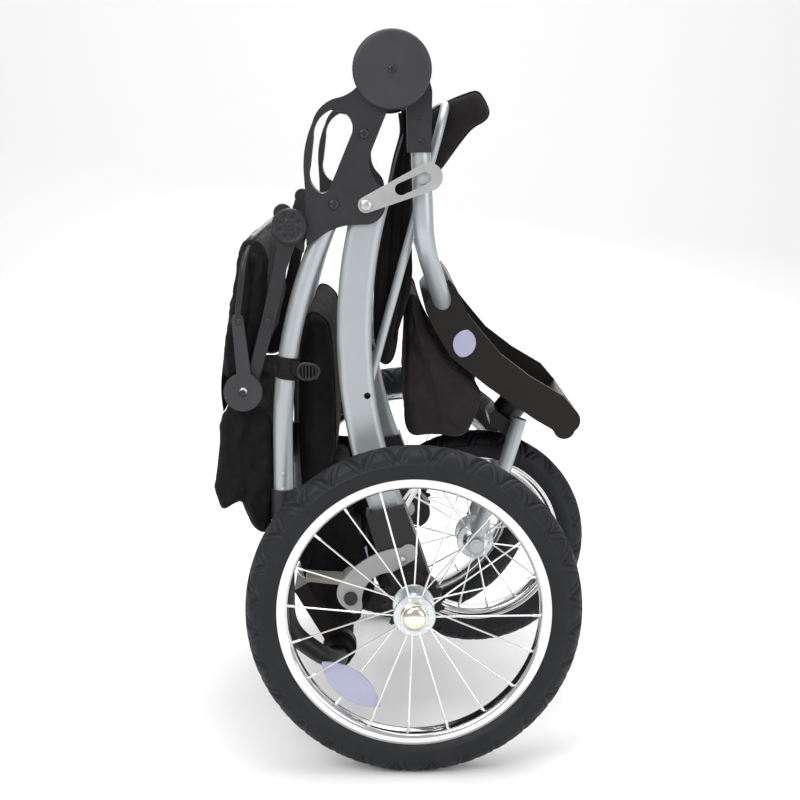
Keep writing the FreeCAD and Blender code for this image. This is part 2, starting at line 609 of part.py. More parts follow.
def make_canopy():
    """Ratchets on the handle tubes, hinged side arms, bow and the two parts of the hood."""
    ratchets, bases, arms = [], [], []
    ratchet, hinge = (size("ratchet_x"), size("ratchet_z")), (size("hood_pivot_x"), size("hood_pivot_z"))
    for name, side in SIDES.items():
        y = side_y(side)
        clip = plate("RatchetClip_" + name, [(-128, 634), (-132, 660), (-150, 661), (-157, 640),
                                             (-130, 618)], y, [20])
        tube_room = sweep("ClipRoom_" + name, handle_tube_path(side, 300), ["tube", 0.3])
        bracket_room = plate("ClipGap_" + name, [(-129.2, 700), (-129.2, 626), (-110, 626), (-110, 700)],
                             y, [34])
        seat = cut("RatchetSeat_" + name, clip, tube_room, bracket_room)
        pin = rod("RatchetPin_" + name, at(ratchet[0], side_y(side, -4), ratchet[1]), (0, side, 0), [4],
                  [28])
        cap = rod("RatchetCap_" + name, at(ratchet[0], side_y(side, 17), ratchet[1]), (0, side, 0), [20],
                  [7])
        ratchets.append(fuse("Ratchet_" + name, seat, pin, cap))

        arm_y = side_y(side, 13.5)
        base = plate("BaseArm_" + name, [(-143, 668, -162, 658), (-167, 640, -160, 632), (-166, 600),
                                         (-180, 540),
                                         (-200, 464), (-196, 446), (-190, 447), (-164, 536), (-150, 598),
                                         (-137, 634),
                                         (-131, 650, -143, 662)], arm_y, [6])
        hub = rod("BaseHub_" + name, at(hinge[0], side_y(side, 10.5), hinge[1]), (0, side, 0), [20], [6])
        pin_room = rod("BaseHole_" + name, at(ratchet[0], side_y(side, -10), ratchet[1]), (0, side, 0),
                       [4.05], [40])
        knuckle = rod("BaseKnuckle_" + name, at(hinge[0], side_y(side, 10.5), hinge[1]), (0, side, 0),
                      [4], [17])
        bases.append(fuse("BaseSolid_" + name, cut("BaseDrilled_" + name,
                                                   fuse("BaseJoin_" + name, base, hub), pin_room),
                          knuckle))
        bow_y = side_y(side, 20.3)
        arm = plate("BowArm_" + name, [(-210, 470), (-215, 540), (-208, 547, -201, 540), (-193, 470)],
                    bow_y, [6])
        disc = rod("BowHub_" + name, at(hinge[0], side_y(side, 17.3), hinge[1]), (0, side, 0), [23], [8])
        room = rod("BowHole_" + name, at(hinge[0], side_y(side, 0), hinge[1]), (0, side, 0), [4.05], [27.6])
        arms.append(cut("BowArmSolid_" + name, fuse("BowJoin_" + name, arm, disc), room))
    finish(group("Ratchets", *ratchets), "canopy_ratchets")
    finish(group("BaseArms", *bases), "canopy_base_arms")
    finish(group("BowArms", *arms), "canopy_bow_arms")
    reach = size("frame_side") + 20.3
    wire = bent_path([at(-208, -reach, 541), at(-200, -reach, 606), at(-192, -reach + 30, 634),
                      at(-192, reach - 30, 634),
                      at(-200, reach, 606), at(-208, reach, 541)], [30, 20, 20, 30])
    bow = sweep("BowWire", wire, ["bow_wire"])
    socket = fuse("BowArmBoth", *arms)
    finish(cut("Bow", bow, socket), "canopy_bow")
    hood = plate("HoodBlock", [(-226, 500), (-225, 466), (-203, 478), (-190, 470), (-180, 560),
                               (-174, 600), (-180, 622),
                               (-190, 630), (-203, 628), (-209, 595), (-216, 552)], 0,
                 ["hood_half", "hood_half"])
    channel = sweep("HoodChannel", wire, ["bow_wire", 0.3])
    finish(cut("Hood", hood, channel), "canopy_hood")
    finish(plate("RearHood", [(-229, 424), (-232, 392), (-240, 333), (-235, 307), (-210, 313),
                              (-204, 299), (-197, 288),
                              (-184, 276), (-180, 290), (-178, 400), (-179, 428)], 0,
                 ["hood_half", "hood_half"]),
           "canopy_rear")


def front_leg_path(side):
    """Front leg tube: down from the sleeve, then forward and inward to the footrest."""
    y = side_y(side, 0.0, "sleeve_side")
    return bent_path([at(7, y, 785), at(13.6, y, 625), at(40, side * 128, 545)], [70])


def make_front_leg(name, side):
    """Front leg tube and the sleeve that turns on the fold joint."""
    y, fold = side_y(side, 0.0, "sleeve_side"), at(size("fold_x"), 0, size("fold_z"))
    finish(tube("FrontLeg_" + name, front_leg_path(side)), "front_leg_" + name)
    eye = rod("SleeveEye_" + name, fold + Vector(0, side_y(side, 9), 0), (0, -side, 0), ["sleeve_eye"],
              [26])
    neck = plate("SleeveNeck_" + name, [(-25, 858), (-8, 853), (14, 836), (22, 806), (21, 735), (-7, 735),
                                        (-8, 790),
                                        (-38, 805)], y + side * 0.5, [27])
    hole = rod("SleeveHole_" + name, fold + Vector(0, side_y(side, -30), 0), (0, side, 0),
               ["fold_pin", "running_gap"], [60])
    tube_room = sweep("SleeveBore_" + name, front_leg_path(side), ["tube", 0.3])
    solid = cut("Sleeve_" + name, fuse("SleeveSolid_" + name, eye, neck), hole, tube_room)
    finish(solid, "front_sleeve_" + name)


FOOTREST = [(16, 548), (18, 537), (30, 512), (50, 479), (96, 442), (156, 400), (180, 386),
            (197, 375, 207, 385),
            (214, 398, 208, 411), (192, 430), (150, 455), (112, 484), (86, 515), (70, 535), (56, 566),
            (47, 578), (31, 568)]
WELL = [(70, 540), (60, 486), (100, 450), (158, 408), (190, 390), (240, 430), (120, 560)]


def make_footrest():
    """Moulded footrest tray with leg sockets, side reflectors and the steering head under it."""
    half = ["footrest_half", "footrest_half"]
    block = plate("FootrestBlock", FOOTREST, 0, half)
    well = plate("FootrestWell", WELL, 0, half + ["-footrest_wall", "-footrest_wall"])
    rooms = [sweep("LegSocket_" + name, front_leg_path(side), ["tube", 0.3]) for name,
             side in SIDES.items()]
    finish(cut("Footrest", block, well, *rooms), "footrest")
    lenses = []
    for name, side in SIDES.items():
        y = side * (size("footrest_half") + 1.6)
        lenses.append(plate("SideLens_" + name, [(52, 500, 70, 515), (80, 494, 62, 480)], y, [3]))
    finish(group("SideLenses", *lenses), "footrest_reflectors")


def steer_place(along, y=0.0, ahead=0.0):
    """Place measured from the steering axis: along it, sideways, and square ahead of it."""
    tilt = math.radians(size("steer_tilt"))
    return at(size("steer_x") + along * math.sin(tilt) + ahead * math.cos(tilt), y,
              size("steer_z") + along * math.cos(tilt) - ahead * math.sin(tilt))


def steer_plate(name, corners, y, thickness):
    """Plate whose outline is given in (ahead, along) of the steering axis."""
    shift = Vector(size("axle_x"), 0, 0)
    spots = [steer_place(along, 0, ahead) - shift for ahead, along in corners]
    return plate(name, [(spot.x, spot.z) for spot in spots], y, thickness)


def make_steering():
    """Steering head, fork crown and blades, front axle and the swivel lock's knob."""
    tilt = math.radians(size("steer_tilt"))
    axis = (math.sin(tilt), 0, math.cos(tilt))
    head = rod("HeadTube", steer_place(0), axis, ["steer_head"], [27.5])
    bore = rod("HeadBore", steer_place(-5), axis, ["steer_pin", "running_gap"], [30])
    lock_room = rod("LockRoom", steer_place(14, 13), (0, 1, 0), [3.55], [20])
    finish(cut("Head", head, bore, lock_room), "steering_head")
    pin = rod("LockPin", steer_place(14, 13.5), (0, 1, 0), [3.5], [14])
    knob = rod("LockKnob", steer_place(14, 22.5), (0, 1, 0), [8], [6])
    finish(fuse("SwivelLock", pin, knob), "swivel_lock")

    crown = steer_plate("CrownBlock", [(-20, -1), (24, -1), (30, -8), (24, -20), (-12, -22), (-20, -14)], 0,
                        ["fork_side", "fork_side", -21])
    stem = rod("CrownStem", steer_place(-10), axis, ["steer_pin"], [33])
    finish(fuse("Crown", crown, stem), "fork_crown")
    blades = []
    for name, side in SIDES.items():
        y = side * size("fork_side")
        path = bent_path([at(145.5, y, 384), at(128, y, 322), at(90.5, y, 226)], [400])
        blade = tube("Blade_" + name, path, "fork_blade")
        drop = plate("DropOut_" + name, [(84, 232), (99, 228), (100, 204), (89, 196, 79, 206)], y, [5])
        hole = rod("DropHole_" + name, at(size("front_axle_x"), y - 20, size("front_axle_z")), (0, 1, 0),
                   ["axle_pin", 0.05], [40])
        blades.append(cut("BladeDrilled_" + name, fuse("BladeSolid_" + name, blade, drop), hole))
    finish(group("Blades", *blades), "fork_blades")
    reach = size("fork_side") + 10
    shaft = rod("FrontShaft", at(size("front_axle_x"), -reach, size("front_axle_z")), (0, 1, 0),
                ["axle_pin"],
                ["fork_side", "fork_side", 20])
    nuts = [rod(f"FrontNut_{n}", at(size("front_axle_x"), s * (size("fork_side") + 2.8) - 3 + s * 3,
                                    size("front_axle_z")),
                (0, 1, 0), [9.5], [6]) for n, s in enumerate((-1, 1))]
    finish(fuse("FrontAxle", shaft, *nuts), "front_axle")


def make_latch():
    """Slotted transport link on the right-hand bracket, and the stud that it is held against."""
    side = SIDES["right"]
    y = side_y(side, 15.3 + size("latch_thick") / 2)
    blade = plate("LatchBlade", [(-60.3, 682.8), (-64.4, 670.7, -52.6, 665.5), (23.3, 691.4),
                                 (33.0, 713.5, 10.1, 721.3)], y, ["latch_thick"])
    slot = plate("LatchSlot", [(-17.4, 699.5), (-21.1, 690.0, -11.6, 686.3), (16.9, 698.8),
                               (20.6, 708.3, 11.1, 712.0)], y, ["latch_thick", 4])
    hole = rod("LatchHole", at(size("leg_pivot_x"), y - 20, size("leg_pivot_z")), (0, 1, 0),
               ["leg_pin", 0.05], [40])
    finish(cut("Latch", blade, slot, hole), "transport_latch")
    start = side_y(side, 12.1, "sleeve_side")
    post = rod("StudPost", at(10.7, start, 704.8), (0, side, 0), [3.5], [7.9])
    nut = rod("StudNut", at(10.7, start + side * 1.2, 704.8), (0, side, 0), [6], [5])
    finish(fuse("Stud", post, nut), "latch_stud")


def make_front_frame():
    """Everything that turns with the front legs."""
    for name, side in SIDES.items():
        make_front_leg(name, side)
    make_footrest()
    make_steering()
    make_latch()
    finish(plate("CalfSolid", [(-10, 556), (9, 556), (12, 536), (24, 507), (45, 471), (89, 436),
                               (88, 415), (80, 397),
                               (69, 371), (-7, 380)], 0, ["calf_half", "calf_half"]), "calf_panel")


def make_seat():
    """Seat tube, a long U hinged on the rear legs, and the padded seat on it."""
    side, low = size("seat_side"), (size("seat_pivot_x"), size("seat_pivot_z"))
    slope = 0.276
    top = (low[0] + slope * 344, low[1] + 344)
    path = bent_path([at(low[0] + slope * 12, -side, low[1] + 12), at(top[0], -side, top[1]),
                      at(top[0], side, top[1]),
                      at(low[0] + slope * 12, side, low[1] + 12)], [40, 40])
    frame = tube("SeatTubeBent", path, "seat_tube")
    eyes = []
    for name, s in SIDES.items():
        x, z = low
        eye = plate("SeatEye_" + name, [(x - 8, z + 4.5), (x, z - 9.2, x + 8, z + 4.5), (x + 9.5, z + 24),
                                        (x + 1, z + 24)],
                    s * side, [6])
        hole = rod("SeatEyeHole_" + name, at(x, s * side - 20, z), (0, 1, 0), [4.05], [40])
        eyes.append(cut("SeatEyeDrilled_" + name, eye, hole))
    finish(fuse("SeatTube", frame, *eyes), "seat_tube")
    pad = plate("SeatBlock", [(-50, 560), (-48, 470), (-18, 470), (-13, 560), (-4, 630), (12, 690),
                              (37, 712), (51, 732),
                              (61, 746), (73, 762), (91, 770), (97, 780, 94, 790), (84, 808, 76, 811),
                              (51, 801),
                              (24, 787), (-2, 768), (-13, 745), (-25, 702), (-40, 640)], 0,
                ["seat_half", "seat_half"])
    tunnel = sweep("SeatTunnel", path, ["seat_tube", 0.3])
    finish(cut("SeatPad", pad, tunnel), "seat_pad")
    finish(plate("BasketSolid", [(-138, 298), (-84, 318), (-82, 226), (-98, 216), (-136, 218)], 0,
                 ["basket_half", "basket_half"]), "storage_basket")


def check_and_write():
    """Stop on any failed object or bad shape, then write one STEP file per sub-part."""
    doc.recompute()
    for item in doc.Objects:
        if {"Invalid", "Error"} & set(item.State):
            raise RuntimeError(f"{item.Name} failed: {item.State}")
    os.makedirs("parts", exist_ok=True)
    for item in finished:
        shape = item.Shape
        if shape.isNull() or not shape.isValid() or not shape.Solids:
            raise RuntimeError(f"{item.Label} has a bad shape")
        shape.exportStep(f"parts/{item.Label}.step")
    box = Part.makeCompound([item.Shape for item in finished]).BoundBox
    print(len(finished), "sub-parts, box", box)


def main():
    """Build every sub-assembly and write the parts."""
    make_rear_wheels()
    make_wheel("front", "front", at(size("front_axle_x"), 0, size("front_axle_z")), 0)
    make_rear_frame()
    make_brake_pedal()
    make_handle_frame()
    make_canopy()
    make_front_frame()
    make_seat()
    check_and_write()


main()
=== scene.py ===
"""Looks of the folded jogging stroller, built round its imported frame.

Lengths in the classes are millimetres from the rear wheels' axis, which lies AXLE_X ahead of the
row frame's origin; metres() turns them into the row frame.
"""
import json
import logging
import math
from dataclasses import dataclass, field
from enum import Enum

import bmesh
import bpy
import numpy as np
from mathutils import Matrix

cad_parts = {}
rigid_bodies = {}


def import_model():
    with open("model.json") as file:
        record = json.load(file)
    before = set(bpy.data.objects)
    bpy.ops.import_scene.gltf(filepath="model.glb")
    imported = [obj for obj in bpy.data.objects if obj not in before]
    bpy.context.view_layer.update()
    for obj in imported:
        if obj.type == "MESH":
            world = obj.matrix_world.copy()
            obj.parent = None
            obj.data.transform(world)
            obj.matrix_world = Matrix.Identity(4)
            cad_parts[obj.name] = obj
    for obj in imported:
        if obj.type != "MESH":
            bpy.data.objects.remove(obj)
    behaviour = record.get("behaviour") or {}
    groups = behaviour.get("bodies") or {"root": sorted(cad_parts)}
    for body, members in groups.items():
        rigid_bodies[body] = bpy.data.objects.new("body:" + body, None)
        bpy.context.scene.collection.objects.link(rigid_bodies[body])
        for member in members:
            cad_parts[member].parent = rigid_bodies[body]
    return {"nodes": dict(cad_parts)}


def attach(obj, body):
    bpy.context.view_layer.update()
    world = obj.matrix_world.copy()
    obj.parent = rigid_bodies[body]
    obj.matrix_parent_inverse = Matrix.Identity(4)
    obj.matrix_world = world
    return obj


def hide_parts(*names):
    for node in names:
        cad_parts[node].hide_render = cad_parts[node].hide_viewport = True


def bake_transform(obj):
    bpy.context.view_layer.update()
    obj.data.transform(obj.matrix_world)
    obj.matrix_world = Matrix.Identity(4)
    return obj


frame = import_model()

Array = np.ndarray
Pairs = list[tuple[float, float]]
AXLE_X = 1.1
FRAME_SIDE = 217.0
WHEEL_SIDE = 296.0
AXLE_Z = 200.0
SPOKE_TURN = 33.5
CLOUD_SCALE, SCUFF_SCALE = 22.0, 90.0
WAVE_REPEAT = 314.159
BUMP_STRENGTH = 0.55
CLOTH_THICK = 0.0012
log = logging.getLogger("stroller")


class Side(Enum):
    """The two sides of the stroller, with the sign of their y."""

    RIGHT = -1
    LEFT = 1

    @property
    def word(self) -> str:
        """The side's name as it stands in the names of nodes."""
        return self.name.lower()


class Relief(Enum):
    """Kinds of fine surface relief."""

    SMOOTH = "smooth"
    GRAIN = "grain"
    WOVEN = "woven"
    FOAM = "foam"
    BRUSHED = "brushed"
    BARS = "bars"


@dataclass(frozen=True)
class Finish:
    """A finish of one material slot: its colour, gloss and fine relief.

    Attributes:
        pitch: Distance from one grain or thread to the next, in millimetres.
        depth: Depth of the relief, in millimetres.
        variation: Share by which the colour wanders.
        see_through: Share of light that passes.
        gloss: Strength of the mirror part, 0.5 being that of common plastics.
    """

    name: str
    slot: str
    colour: tuple[float, float, float]
    roughness: float
    metallic: float = 0.0
    coat: float = 0.0
    sheen: float = 0.0
    relief: Relief = Relief.GRAIN
    pitch: float = 0.9
    depth: float = 0.05
    variation: float = 0.12
    see_through: float = 0.0
    gloss: float = 0.5

    def material(self) -> bpy.types.Material:
        """Return the finish's node material, made on first use.

        Returns:
            The Blender material, shared by every piece with this finish.
        """
        made = bpy.data.materials.get(self.name)
        if made:
            return made
        made = bpy.data.materials.new(self.name)
        made.use_nodes = True
        nodes, links = made.node_tree.nodes, made.node_tree.links
        shader = nodes["Principled BSDF"]
        shader.inputs["Metallic"].default_value = self.metallic
        shader.inputs["Coat Weight"].default_value = self.coat
        shader.inputs["Coat Roughness"].default_value = 0.18
        shader.inputs["Sheen Weight"].default_value = self.sheen
        shader.inputs["Sheen Roughness"].default_value = 0.4
        shader.inputs["Transmission Weight"].default_value = self.see_through
        shader.inputs["Specular IOR Level"].default_value = self.gloss
        coords = nodes.new("ShaderNodeTexCoord")
        space = coords.outputs["UV" if self.relief is Relief.WOVEN else "Object"]
        self._tint(nodes, links, coords.outputs["Object"], space, shader)
        height = self._height(nodes, links, space)
        if height is not None:
            bump = nodes.new("ShaderNodeBump")
            bump.inputs["Strength"].default_value = BUMP_STRENGTH
            bump.inputs["Distance"].default_value = self.depth / 1000.0
            links.new(height, bump.inputs["Height"])
            links.new(bump.outputs["Normal"], shader.inputs["Normal"])
        return made

    def _tint(self, nodes: bpy.types.Nodes, links: bpy.types.NodeLinks, place: bpy.types.NodeSocket,
              space: bpy.types.NodeSocket, shader: bpy.types.ShaderNode) -> None:
        """Let colour and roughness wander a little over the surface, and scuff it in places.

        Args:
            nodes: The material's nodes.
            links: The material's links.
            place: Object coordinates.
            space: Coordinates of the relief.
            shader: The shader that takes the result.
        """
        cloud = nodes.new("ShaderNodeTexNoise")
        cloud.inputs["Scale"].default_value = CLOUD_SCALE
        cloud.inputs["Detail"].default_value = 6.0
        cloud.inputs["Roughness"].default_value = 0.6
        links.new(place, cloud.inputs["Vector"])
        ramp = nodes.new("ShaderNodeValToRGB")
        low, high = 1.0 - self.variation, 1.0 + self.variation
        ramp.color_ramp.elements[0].position, ramp.color_ramp.elements[1].position = 0.3, 0.7
        ramp.color_ramp.elements[0].color = (*(min(1.0, c * low) for c in self.colour), 1.0)
        ramp.color_ramp.elements[1].color = (*(min(1.0, c * high) for c in self.colour), 1.0)
        links.new(cloud.outputs["Fac"], ramp.inputs["Fac"])
        colour = ramp.outputs["Color"]
        if self.relief is Relief.WOVEN:
            thread = self._wave(nodes, links, space, "DIAGONAL", self.pitch * 1.4)
            blend = nodes.new("ShaderNodeMix")
            blend.data_type, blend.blend_type = "RGBA", "MULTIPLY"
            blend.inputs["Factor"].default_value = 0.35
            links.new(colour, blend.inputs["A"])
            links.new(thread, blend.inputs["B"])
            colour = blend.outputs["Result"]
        links.new(colour, shader.inputs["Base Color"])
        scuff = nodes.new("ShaderNodeTexNoise")
        scuff.inputs["Scale"].default_value = SCUFF_SCALE
        scuff.inputs["Detail"].default_value = 4.0
        links.new(place, scuff.inputs["Vector"])
        span = nodes.new("ShaderNodeMapRange")
        span.inputs["From Min"].default_value, span.inputs["From Max"].default_value = 0.3, 0.7
        span.inputs["To Min"].default_value = max(0.02, self.roughness * 0.88)
        span.inputs["To Max"].default_value = min(1.0, self.roughness * 1.14)
        links.new(scuff.outputs["Fac"], span.inputs["Value"])
        links.new(span.outputs["Result"], shader.inputs["Roughness"])

    def _height(self, nodes: bpy.types.Nodes, links: bpy.types.NodeLinks,
                space: bpy.types.NodeSocket) -> bpy.types.NodeSocket | None:
        """Make the height of the fine relief.

        Args:
            nodes: The material's nodes.
            links: The material's links.
            space: Coordinates of the relief.

        Returns:
            The height's socket, or None for a smooth finish.
        """
        if self.relief is Relief.SMOOTH:
            return None
        if self.relief is Relief.WOVEN:
            warp = self._wave(nodes, links, space, "X", self.pitch)
            weft = self._wave(nodes, links, space, "Y", self.pitch)
            cross = nodes.new("ShaderNodeMath")
            cross.operation = "MULTIPLY"
            links.new(warp, cross.inputs[0])
            links.new(weft, cross.inputs[1])
            return cross.outputs[0]
        if self.relief is Relief.BARS:
            return self._wave(nodes, links, space, "Z", self.pitch)
        grain = nodes.new("ShaderNodeTexVoronoi" if self.relief is Relief.FOAM else "ShaderNodeTexNoise")
        grain.inputs["Scale"].default_value = 1000.0 / self.pitch
        if self.relief is Relief.BRUSHED:
            stretch = nodes.new("ShaderNodeMapping")
            stretch.inputs["Scale"].default_value = (1.0, 1.0, 0.04)
            links.new(space, stretch.inputs["Vector"])
            space = stretch.outputs["Vector"]
        links.new(space, grain.inputs["Vector"])
        return grain.outputs["Distance" if self.relief is Relief.FOAM else "Fac"]

    @staticmethod
    def _wave(nodes: bpy.types.Nodes, links: bpy.types.NodeLinks, space: bpy.types.NodeSocket,
              direction: str, pitch: float) -> bpy.types.NodeSocket:
        """Make bands across one direction; a wave texture repeats every 0.314 / scale.

        Args:
            nodes: The material's nodes.
            links: The material's links.
            space: Coordinates that the bands lie in.
            direction: Axis that the bands cross.
            pitch: Distance from band to band.

        Returns:
            The bands' socket, from 0 to 1.
        """
        wave = nodes.new("ShaderNodeTexWave")
        wave.bands_direction = direction
        wave.inputs["Scale"].default_value = WAVE_REPEAT / pitch
        wave.inputs["Distortion"].default_value = 0.4
        wave.inputs["Detail"].default_value = 1.0
        links.new(space, wave.inputs["Vector"])
        return wave.outputs["Fac"]


SILVER = Finish("satin_silver_paint", "silver_tube", (0.4, 0.43, 0.445), 0.34, metallic=0.55, coat=0.2,
                pitch=0.35, depth=0.01, variation=0.03)
BLACK_TUBE = Finish("black_powder_coat", "black_tube", (0.009, 0.009, 0.01), 0.42, coat=0.1, pitch=0.5,
                    gloss=0.35)
PLASTIC = Finish("moulded_dark_plastic", "dark_plastic", (0.0195, 0.019, 0.021), 0.4, pitch=0.5,
                 depth=0.03, gloss=0.3)
DISC_PLASTIC = Finish("moulded_grey_cover", "dark_plastic", (0.031, 0.031, 0.035), 0.44, pitch=0.5,
                      depth=0.02, gloss=0.3)
TRAY = Finish("moulded_tray_plastic", "tray_plastic", (0.0085, 0.0068, 0.006), 0.38, coat=0.04, pitch=0.6,
              depth=0.03, gloss=0.22)
PEDAL = Finish("pale_pedal_plastic", "tray_plastic", (0.33, 0.31, 0.27), 0.5, pitch=0.6, depth=0.02)
CHROME = Finish("chrome_plate", "chrome_rim", (0.72, 0.72, 0.72), 0.08, metallic=1.0, relief=Relief.SMOOTH,
                variation=0.01)
SPOKE = Finish("drawn_steel_wire", "spoke_steel", (0.82, 0.82, 0.8), 0.24, metallic=0.9,
               relief=Relief.BRUSHED, pitch=0.4, depth=0.01, variation=0.04)
HUB = Finish("zinc_plated_hub", "hub_metal", (0.62, 0.65, 0.67), 0.27, metallic=0.95, pitch=1.2, depth=0.05,
             variation=0.1)
CAP = Finish("polished_hub_cap", "hub_metal", (0.78, 0.74, 0.64), 0.16, metallic=1.0, relief=Relief.SMOOTH,
             variation=0.03)
STEEL = Finish("bright_steel", "plain_steel", (0.5, 0.5, 0.5), 0.32, metallic=0.8, relief=Relief.BRUSHED,
               pitch=0.6, depth=0.02, variation=0.05)
GREY_PLATE = Finish("grey_painted_plate", "plain_steel", (0.3, 0.3, 0.305), 0.4, metallic=0.25, coat=0.15,
                    pitch=0.7, depth=0.02, variation=0.06)
BLACK_STEEL = Finish("blackened_steel", "plain_steel", (0.03, 0.03, 0.032), 0.34, metallic=0.5, pitch=0.5,
                     variation=0.05)
ROTOR = Finish("blackened_rotor", "rotor_black", (0.007, 0.007, 0.0075), 0.5, pitch=0.6, gloss=0.3)
RUBBER = Finish("moulded_rubber", "tyre_rubber", (0.0125, 0.013, 0.0155), 0.5, pitch=0.7, depth=0.06,
                variation=0.2, gloss=0.2)
FOAM = Finish("closed_cell_foam", "foam_grip", (0.007, 0.007, 0.0075), 0.85, relief=Relief.FOAM, pitch=1.6,
              depth=0.2, gloss=0.15)
LENS = Finish("clear_reflector", "clear_lens", (0.42, 0.42, 0.58), 0.22, coat=0.5, relief=Relief.BARS,
              pitch=2.2, depth=0.12, variation=0.05, see_through=0.25)
CLOTH = Finish("black_woven_cloth", "black_fabric", (0.0092, 0.0083, 0.0094), 0.82, sheen=0.05,
               relief=Relief.WOVEN, pitch=1.5, depth=0.35, variation=0.22, gloss=0.12)
WARM_CLOTH = Finish("brown_black_cloth", "black_fabric", (0.0135, 0.0115, 0.0128), 0.82, sheen=0.06,
                    relief=Relief.WOVEN, pitch=1.3, depth=0.3, variation=0.2, gloss=0.12)
PANEL_CLOTH = Finish("grey_black_cloth", "black_fabric", (0.024, 0.02, 0.0215), 0.8, sheen=0.06,
                     relief=Relief.WOVEN, pitch=1.2, depth=0.25, variation=0.15, gloss=0.15)
WEBBING = Finish("black_webbing", "black_fabric", (0.0065, 0.006, 0.0062), 0.7, sheen=0.05,
                 relief=Relief.WOVEN, pitch=2.2, depth=0.5, variation=0.1, gloss=0.2)
THREAD = Finish("stitching_thread", "black_fabric", (0.012, 0.0115, 0.012), 0.6, relief=Relief.SMOOTH,
                variation=0.1, gloss=0.2)
BY_SLOT = {finish.slot: finish for finish in (FOAM, ROTOR, RUBBER, LENS, HUB, SPOKE, CHROME, BLACK_TUBE,
                                              SILVER, PLASTIC, TRAY, STEEL, CLOTH)}


def metres(points: Array) -> Array:
    """Turn millimetres from the rear wheels' axis into metres in the row frame."""
    return (np.asarray(points, float) + (AXLE_X, 0.0, 0.0)) / 1000.0


def unit(vectors: Array) -> Array:
    """Scale each vector to length 1."""
    return vectors / np.maximum(np.linalg.norm(vectors, axis=-1, keepdims=True), 1e-9)


def eased(points: Array | Pairs, rounds: int = 3, closed: bool = False) -> Array:
    """Round a line's corners: each round puts two points on every run, a quarter in from its ends.

    Args:
        points: The line's corners.
        rounds: How many times the corners are cut.
        closed: Whether the last point joins the first.

    Returns:
        The smoother line.
    """
    line = np.asarray(points, float)
    for _ in range(rounds):
        before = line if closed else line[:-1]
        after = np.roll(line, -1, axis=0) if closed else line[1:]
        cut = np.stack([0.75 * before + 0.25 * after, 0.25 * before + 0.75 * after], axis=1)
        cut = cut.reshape(-1, line.shape[1])
        line = cut if closed else np.vstack([line[:1], cut, line[-1:]])
    return line


def spaced(line: Array, count: int, closed: bool = False, weight: Array | None = None) -> Array:
    """Place points along a line at even, or evenly weighted, distances.

    Args:
        line: Points of the line.
        count: How many points are wanted.
        closed: Whether the last point joins the first.
        weight: How closely the points stand on each run, 1 where left out.

    Returns:
        The new points.
    """
    ends = np.vstack([line, line[:1]]) if closed else line
    runs = np.linalg.norm(np.diff(ends, axis=0), axis=1) * (1.0 if weight is None else weight)
    along = np.concatenate([[0.0], np.cumsum(runs)])
    wanted = np.linspace(0.0, along[-1], count, endpoint=not closed)
    return np.stack([np.interp(wanted, along, ends[:, k]) for k in range(line.shape[1])], axis=1)


def in_plane(pairs: Array | Pairs, y: float) -> Array:
    """Lift (x, z) pairs into the plane at y."""
    flat = np.asarray(pairs, float)
    return np.stack([flat[:, 0], np.full(len(flat), y), flat[:, 1]], axis=1)


@dataclass
class Surface:
    """A grid of points: rows run along the piece and columns run round or across it."""

    points: Array
    ring: bool = True
    loop: bool = False
    caps: tuple[bool, bool] = (True, True)

    def shell(self, first: int) -> tuple[list, Array]:
        """Give the grid's faces and their places on the unrolled surface.

        Args:
            first: Number of the surface's first vertex in its mesh.

        Returns:
            The faces' vertex numbers, and one unrolled place in metres for each face corner.
        """
        rows, columns = self.points.shape[:2]
        i, j = np.meshgrid(np.arange(rows if self.loop else rows - 1),
                           np.arange(columns if self.ring else columns - 1), indexing="ij")
        corners = [(i, j), (i + 1, j), (i + 1, j + 1), (i, j + 1)]
        quads = np.stack([(a % rows) * columns + b % columns for a, b in corners], axis=-1).reshape(-1, 4)
        down, across = self._lengths(0, rows), self._lengths(1, columns)
        places = np.stack([np.stack([across[b], down[a]], axis=-1) for a, b in corners], axis=2)
        faces, places = (quads + first).tolist(), [places.reshape(-1, 2)]
        for wanted, row in zip(self.caps, (0, rows - 1)):
            if wanted and self.ring and not self.loop:
                faces.append((first + row * columns + np.arange(columns)).tolist())
                places.append(self.points[row][:, [0, 2]] / 1000.0)
        return faces, np.vstack(places)

    def _lengths(self, axis: int, count: int) -> Array:
        """Mean distance along rows or columns, in metres, one step past the last for a closed grid."""
        steps = np.linalg.norm(np.diff(self.points, axis=axis), axis=2).mean(axis=1 - axis)
        steps = np.append(steps, steps.mean() if len(steps) else 0.0)
        return np.concatenate([[0.0], np.cumsum(steps)])[:count + 1] / 1000.0


@dataclass
class Facets:
    """Loose faces with equal numbers of corners, for shapes that repeat many times."""

    points: Array
    faces: Array

    def shell(self, first: int) -> tuple[list, Array]:
        """Give the faces and a flat place for each corner."""
        return (self.faces + first).tolist(), self.points[self.faces.ravel()][:, [0, 2]] / 1000.0


